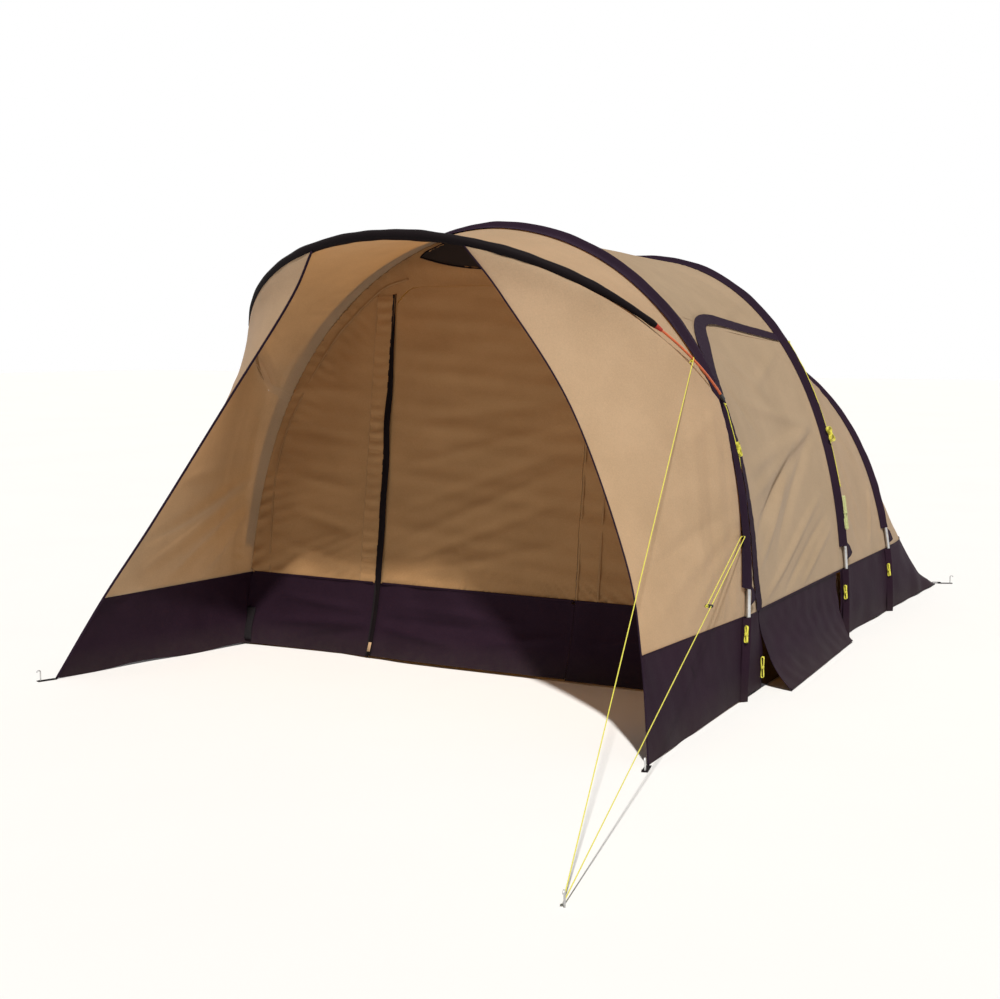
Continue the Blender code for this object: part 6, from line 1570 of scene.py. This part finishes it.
def make_hank(node, turns, waist, finish):
    """Spare line wound in long turns, with a tie wound round its middle."""
    corners = np.unique(np.round([vertex.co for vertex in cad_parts[node].data.vertices], 5), axis=0)
    ways = np.linalg.svd(corners - corners.mean(0))[2]
    along = corners @ ways.T
    spans, centre = np.ptp(along, axis=0), (along.max(0) + along.min(0)) / 2 @ ways
    long_way, wide_way, thick_way = ways
    half_long = (spans[0] - HANK_DIAMETER) / 2
    half_wide = max((spans[1] - HANK_DIAMETER) / 2, 2.6 * HANK_DIAMETER)
    depth, straight = turns * HANK_DIAMETER * 1.08, half_long - half_wide
    draw = np.random.default_rng(len(node))
    points, steps = [], 36
    for k in range(turns):
        longer, shift = 1 - draw.uniform(0, 0.06), draw.uniform(-0.02, 0.02) * half_long
        for step in range(steps):
            c, s = math.cos(2 * math.pi * step / steps), math.sin(2 * math.pi * step / steps)
            high = s * half_wide * longer + shift
            high += math.copysign(straight * longer, s) * min(1.0, abs(s) * 2.2)
            wide = c * half_wide * longer * (1 - waist * math.exp(-(high / (0.42 * half_long)) ** 2))
            through = ((k + step / steps) / turns - 0.5) * depth
            points.append(centre + wide_way * wide + long_way * high + thick_way * through)
    route = smooth_line(points, 2)
    made = tube(f"{node}_cord", route, HANK_DIAMETER / 2, finish, 8, [node])
    wraps, clear = 4, 1.15 * HANK_DIAMETER
    a = np.linspace(0, 2 * math.pi * wraps, 24 * wraps)[:, None]
    ring = (centre + wide_way * np.cos(a) * (half_wide * (1 - waist) + clear)
            + thick_way * np.sin(a) * (depth / 2 + clear)
            + long_way * (a / a.max() - 0.5) * wraps * 1.1 * HANK_DIAMETER)
    tie = tube(f"{node}_tie", ring, HANK_DIAMETER / 2, finish, 8)


def make_hanks():
    make_hank("front_hank", 6, 0.66, "rope")
    make_hank("middle_hank", 6, 0.74, "rope")
    make_hank("middle_long_hank", 5, 0.25, "pale_rope")
    for place in ("front", "middle", "rear", "door"):
        make_hank(f"{place}_foot_hank", 5, 0.35, "rope")


# Small fittings that keep their CAD shape

KEPT = {
    "guy_peg": "steel", "front_corner_peg_left": "steel", "front_corner_peg_right": "steel",
    "rear_corner_peg_right": "steel", "front_corner_strap_left": "webbing",
    "front_corner_strap_right": "webbing", "rear_corner_strap_right": "webbing", "hoop_eye_left": "plastic",
    "hoop_eye_right": "plastic", "guy_runner": "plastic", "guy_tab": "sleeve", "front_zip_slider": "plastic",
}


def finish_kept_nodes():
    for node, finish in KEPT.items():
        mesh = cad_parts[node].data
        mesh.materials.clear()
        mesh.materials.append(FINISHES[finish])


# Light, floor and camera

def make_world():
    """Soft sky light, and a white that only the camera and mirror-like surfaces see."""
    world = bpy.data.worlds.new("studio")
    bpy.context.scene.world = world
    world.use_nodes = True
    nodes, links = world.node_tree.nodes, world.node_tree.links
    soft, white = nodes["Background"], nodes.new("ShaderNodeBackground")
    soft.inputs["Color"].default_value = (0.93, 0.96, 1.0, 1)
    soft.inputs["Strength"].default_value = 0.12
    white.inputs["Color"].default_value = (1, 1, 1, 1)
    path, mix = nodes.new("ShaderNodeLightPath"), nodes.new("ShaderNodeMixShader")
    seen = nodes.new("ShaderNodeMath")
    seen.operation = "MAXIMUM"
    links.new(path.outputs["Is Camera Ray"], seen.inputs[0])
    links.new(path.outputs["Is Glossy Ray"], seen.inputs[1])
    for source, socket in ((seen, 0), (soft, 1), (white, 2)):
        links.new(source.outputs[0], mix.inputs[socket])
    links.new(mix.outputs[0], nodes["World Output"].inputs["Surface"])


def make_stage_floor():
    reach, level = 60.0, -0.0015
    mesh = bpy.data.meshes.new("studio_floor")
    corners = [(x * reach, y * reach, level) for x, y in ((-1, -1), (1, -1), (1, 1), (-1, 1))]
    mesh.from_pydata(corners, [], [(0, 1, 2, 3)])
    floor = bpy.data.objects.new("studio_floor", mesh)
    finish = Finish("pale_floor")
    finish.link("Base Color", finish.ramp(finish.noise(0.6, 3.0), [(0.3, 0.865), (0.7, 0.88)]))
    finish.set(Roughness=0.9)
    mesh.materials.append(finish.material)
    bpy.context.collection.objects.link(floor)


def make_sun():
    data = bpy.data.lights.new("key_light", "SUN")
    data.energy, data.angle, data.color = 3.9, math.radians(2.5), (1.0, 0.97, 0.92)
    key = bpy.data.objects.new("key_light", data)
    key.rotation_euler = Vector((-0.36, 0.415, -0.836)).to_track_quat("-Z", "Y").to_euler()
    bpy.context.collection.objects.link(key)


def make_camera():
    data = bpy.data.cameras.new("photo_camera")
    data.sensor_fit, data.sensor_width, data.lens = "HORIZONTAL", 36.0, 58.95
    camera = bpy.data.objects.new("photo_camera", data)
    camera.location = (4.234, -8.808, 1.614)
    camera.rotation_euler = (math.pi / 2 - math.radians(5.53), 0, math.radians(30.94))
    bpy.context.collection.objects.link(camera)
    bpy.context.scene.camera = camera


make_camera()
make_guy_lines()
make_hanging_lines()
make_hanks()
make_canopy()
make_wings()
make_wing_gussets()
make_front_wall()
make_bay_one()
make_side_doors()
make_bay_two()
make_tail()
make_rear_mud_wall()
make_arches()
make_sleeve_tails()
make_rear_tab()
make_hoop()
make_corner_strap()
make_floor()
make_inner_tent()
finish_kept_nodes()
make_world()
make_stage_floor()
make_sun()
bpy.context.scene.view_settings.view_transform = "Standard"

bpy.context.view_layer.update()
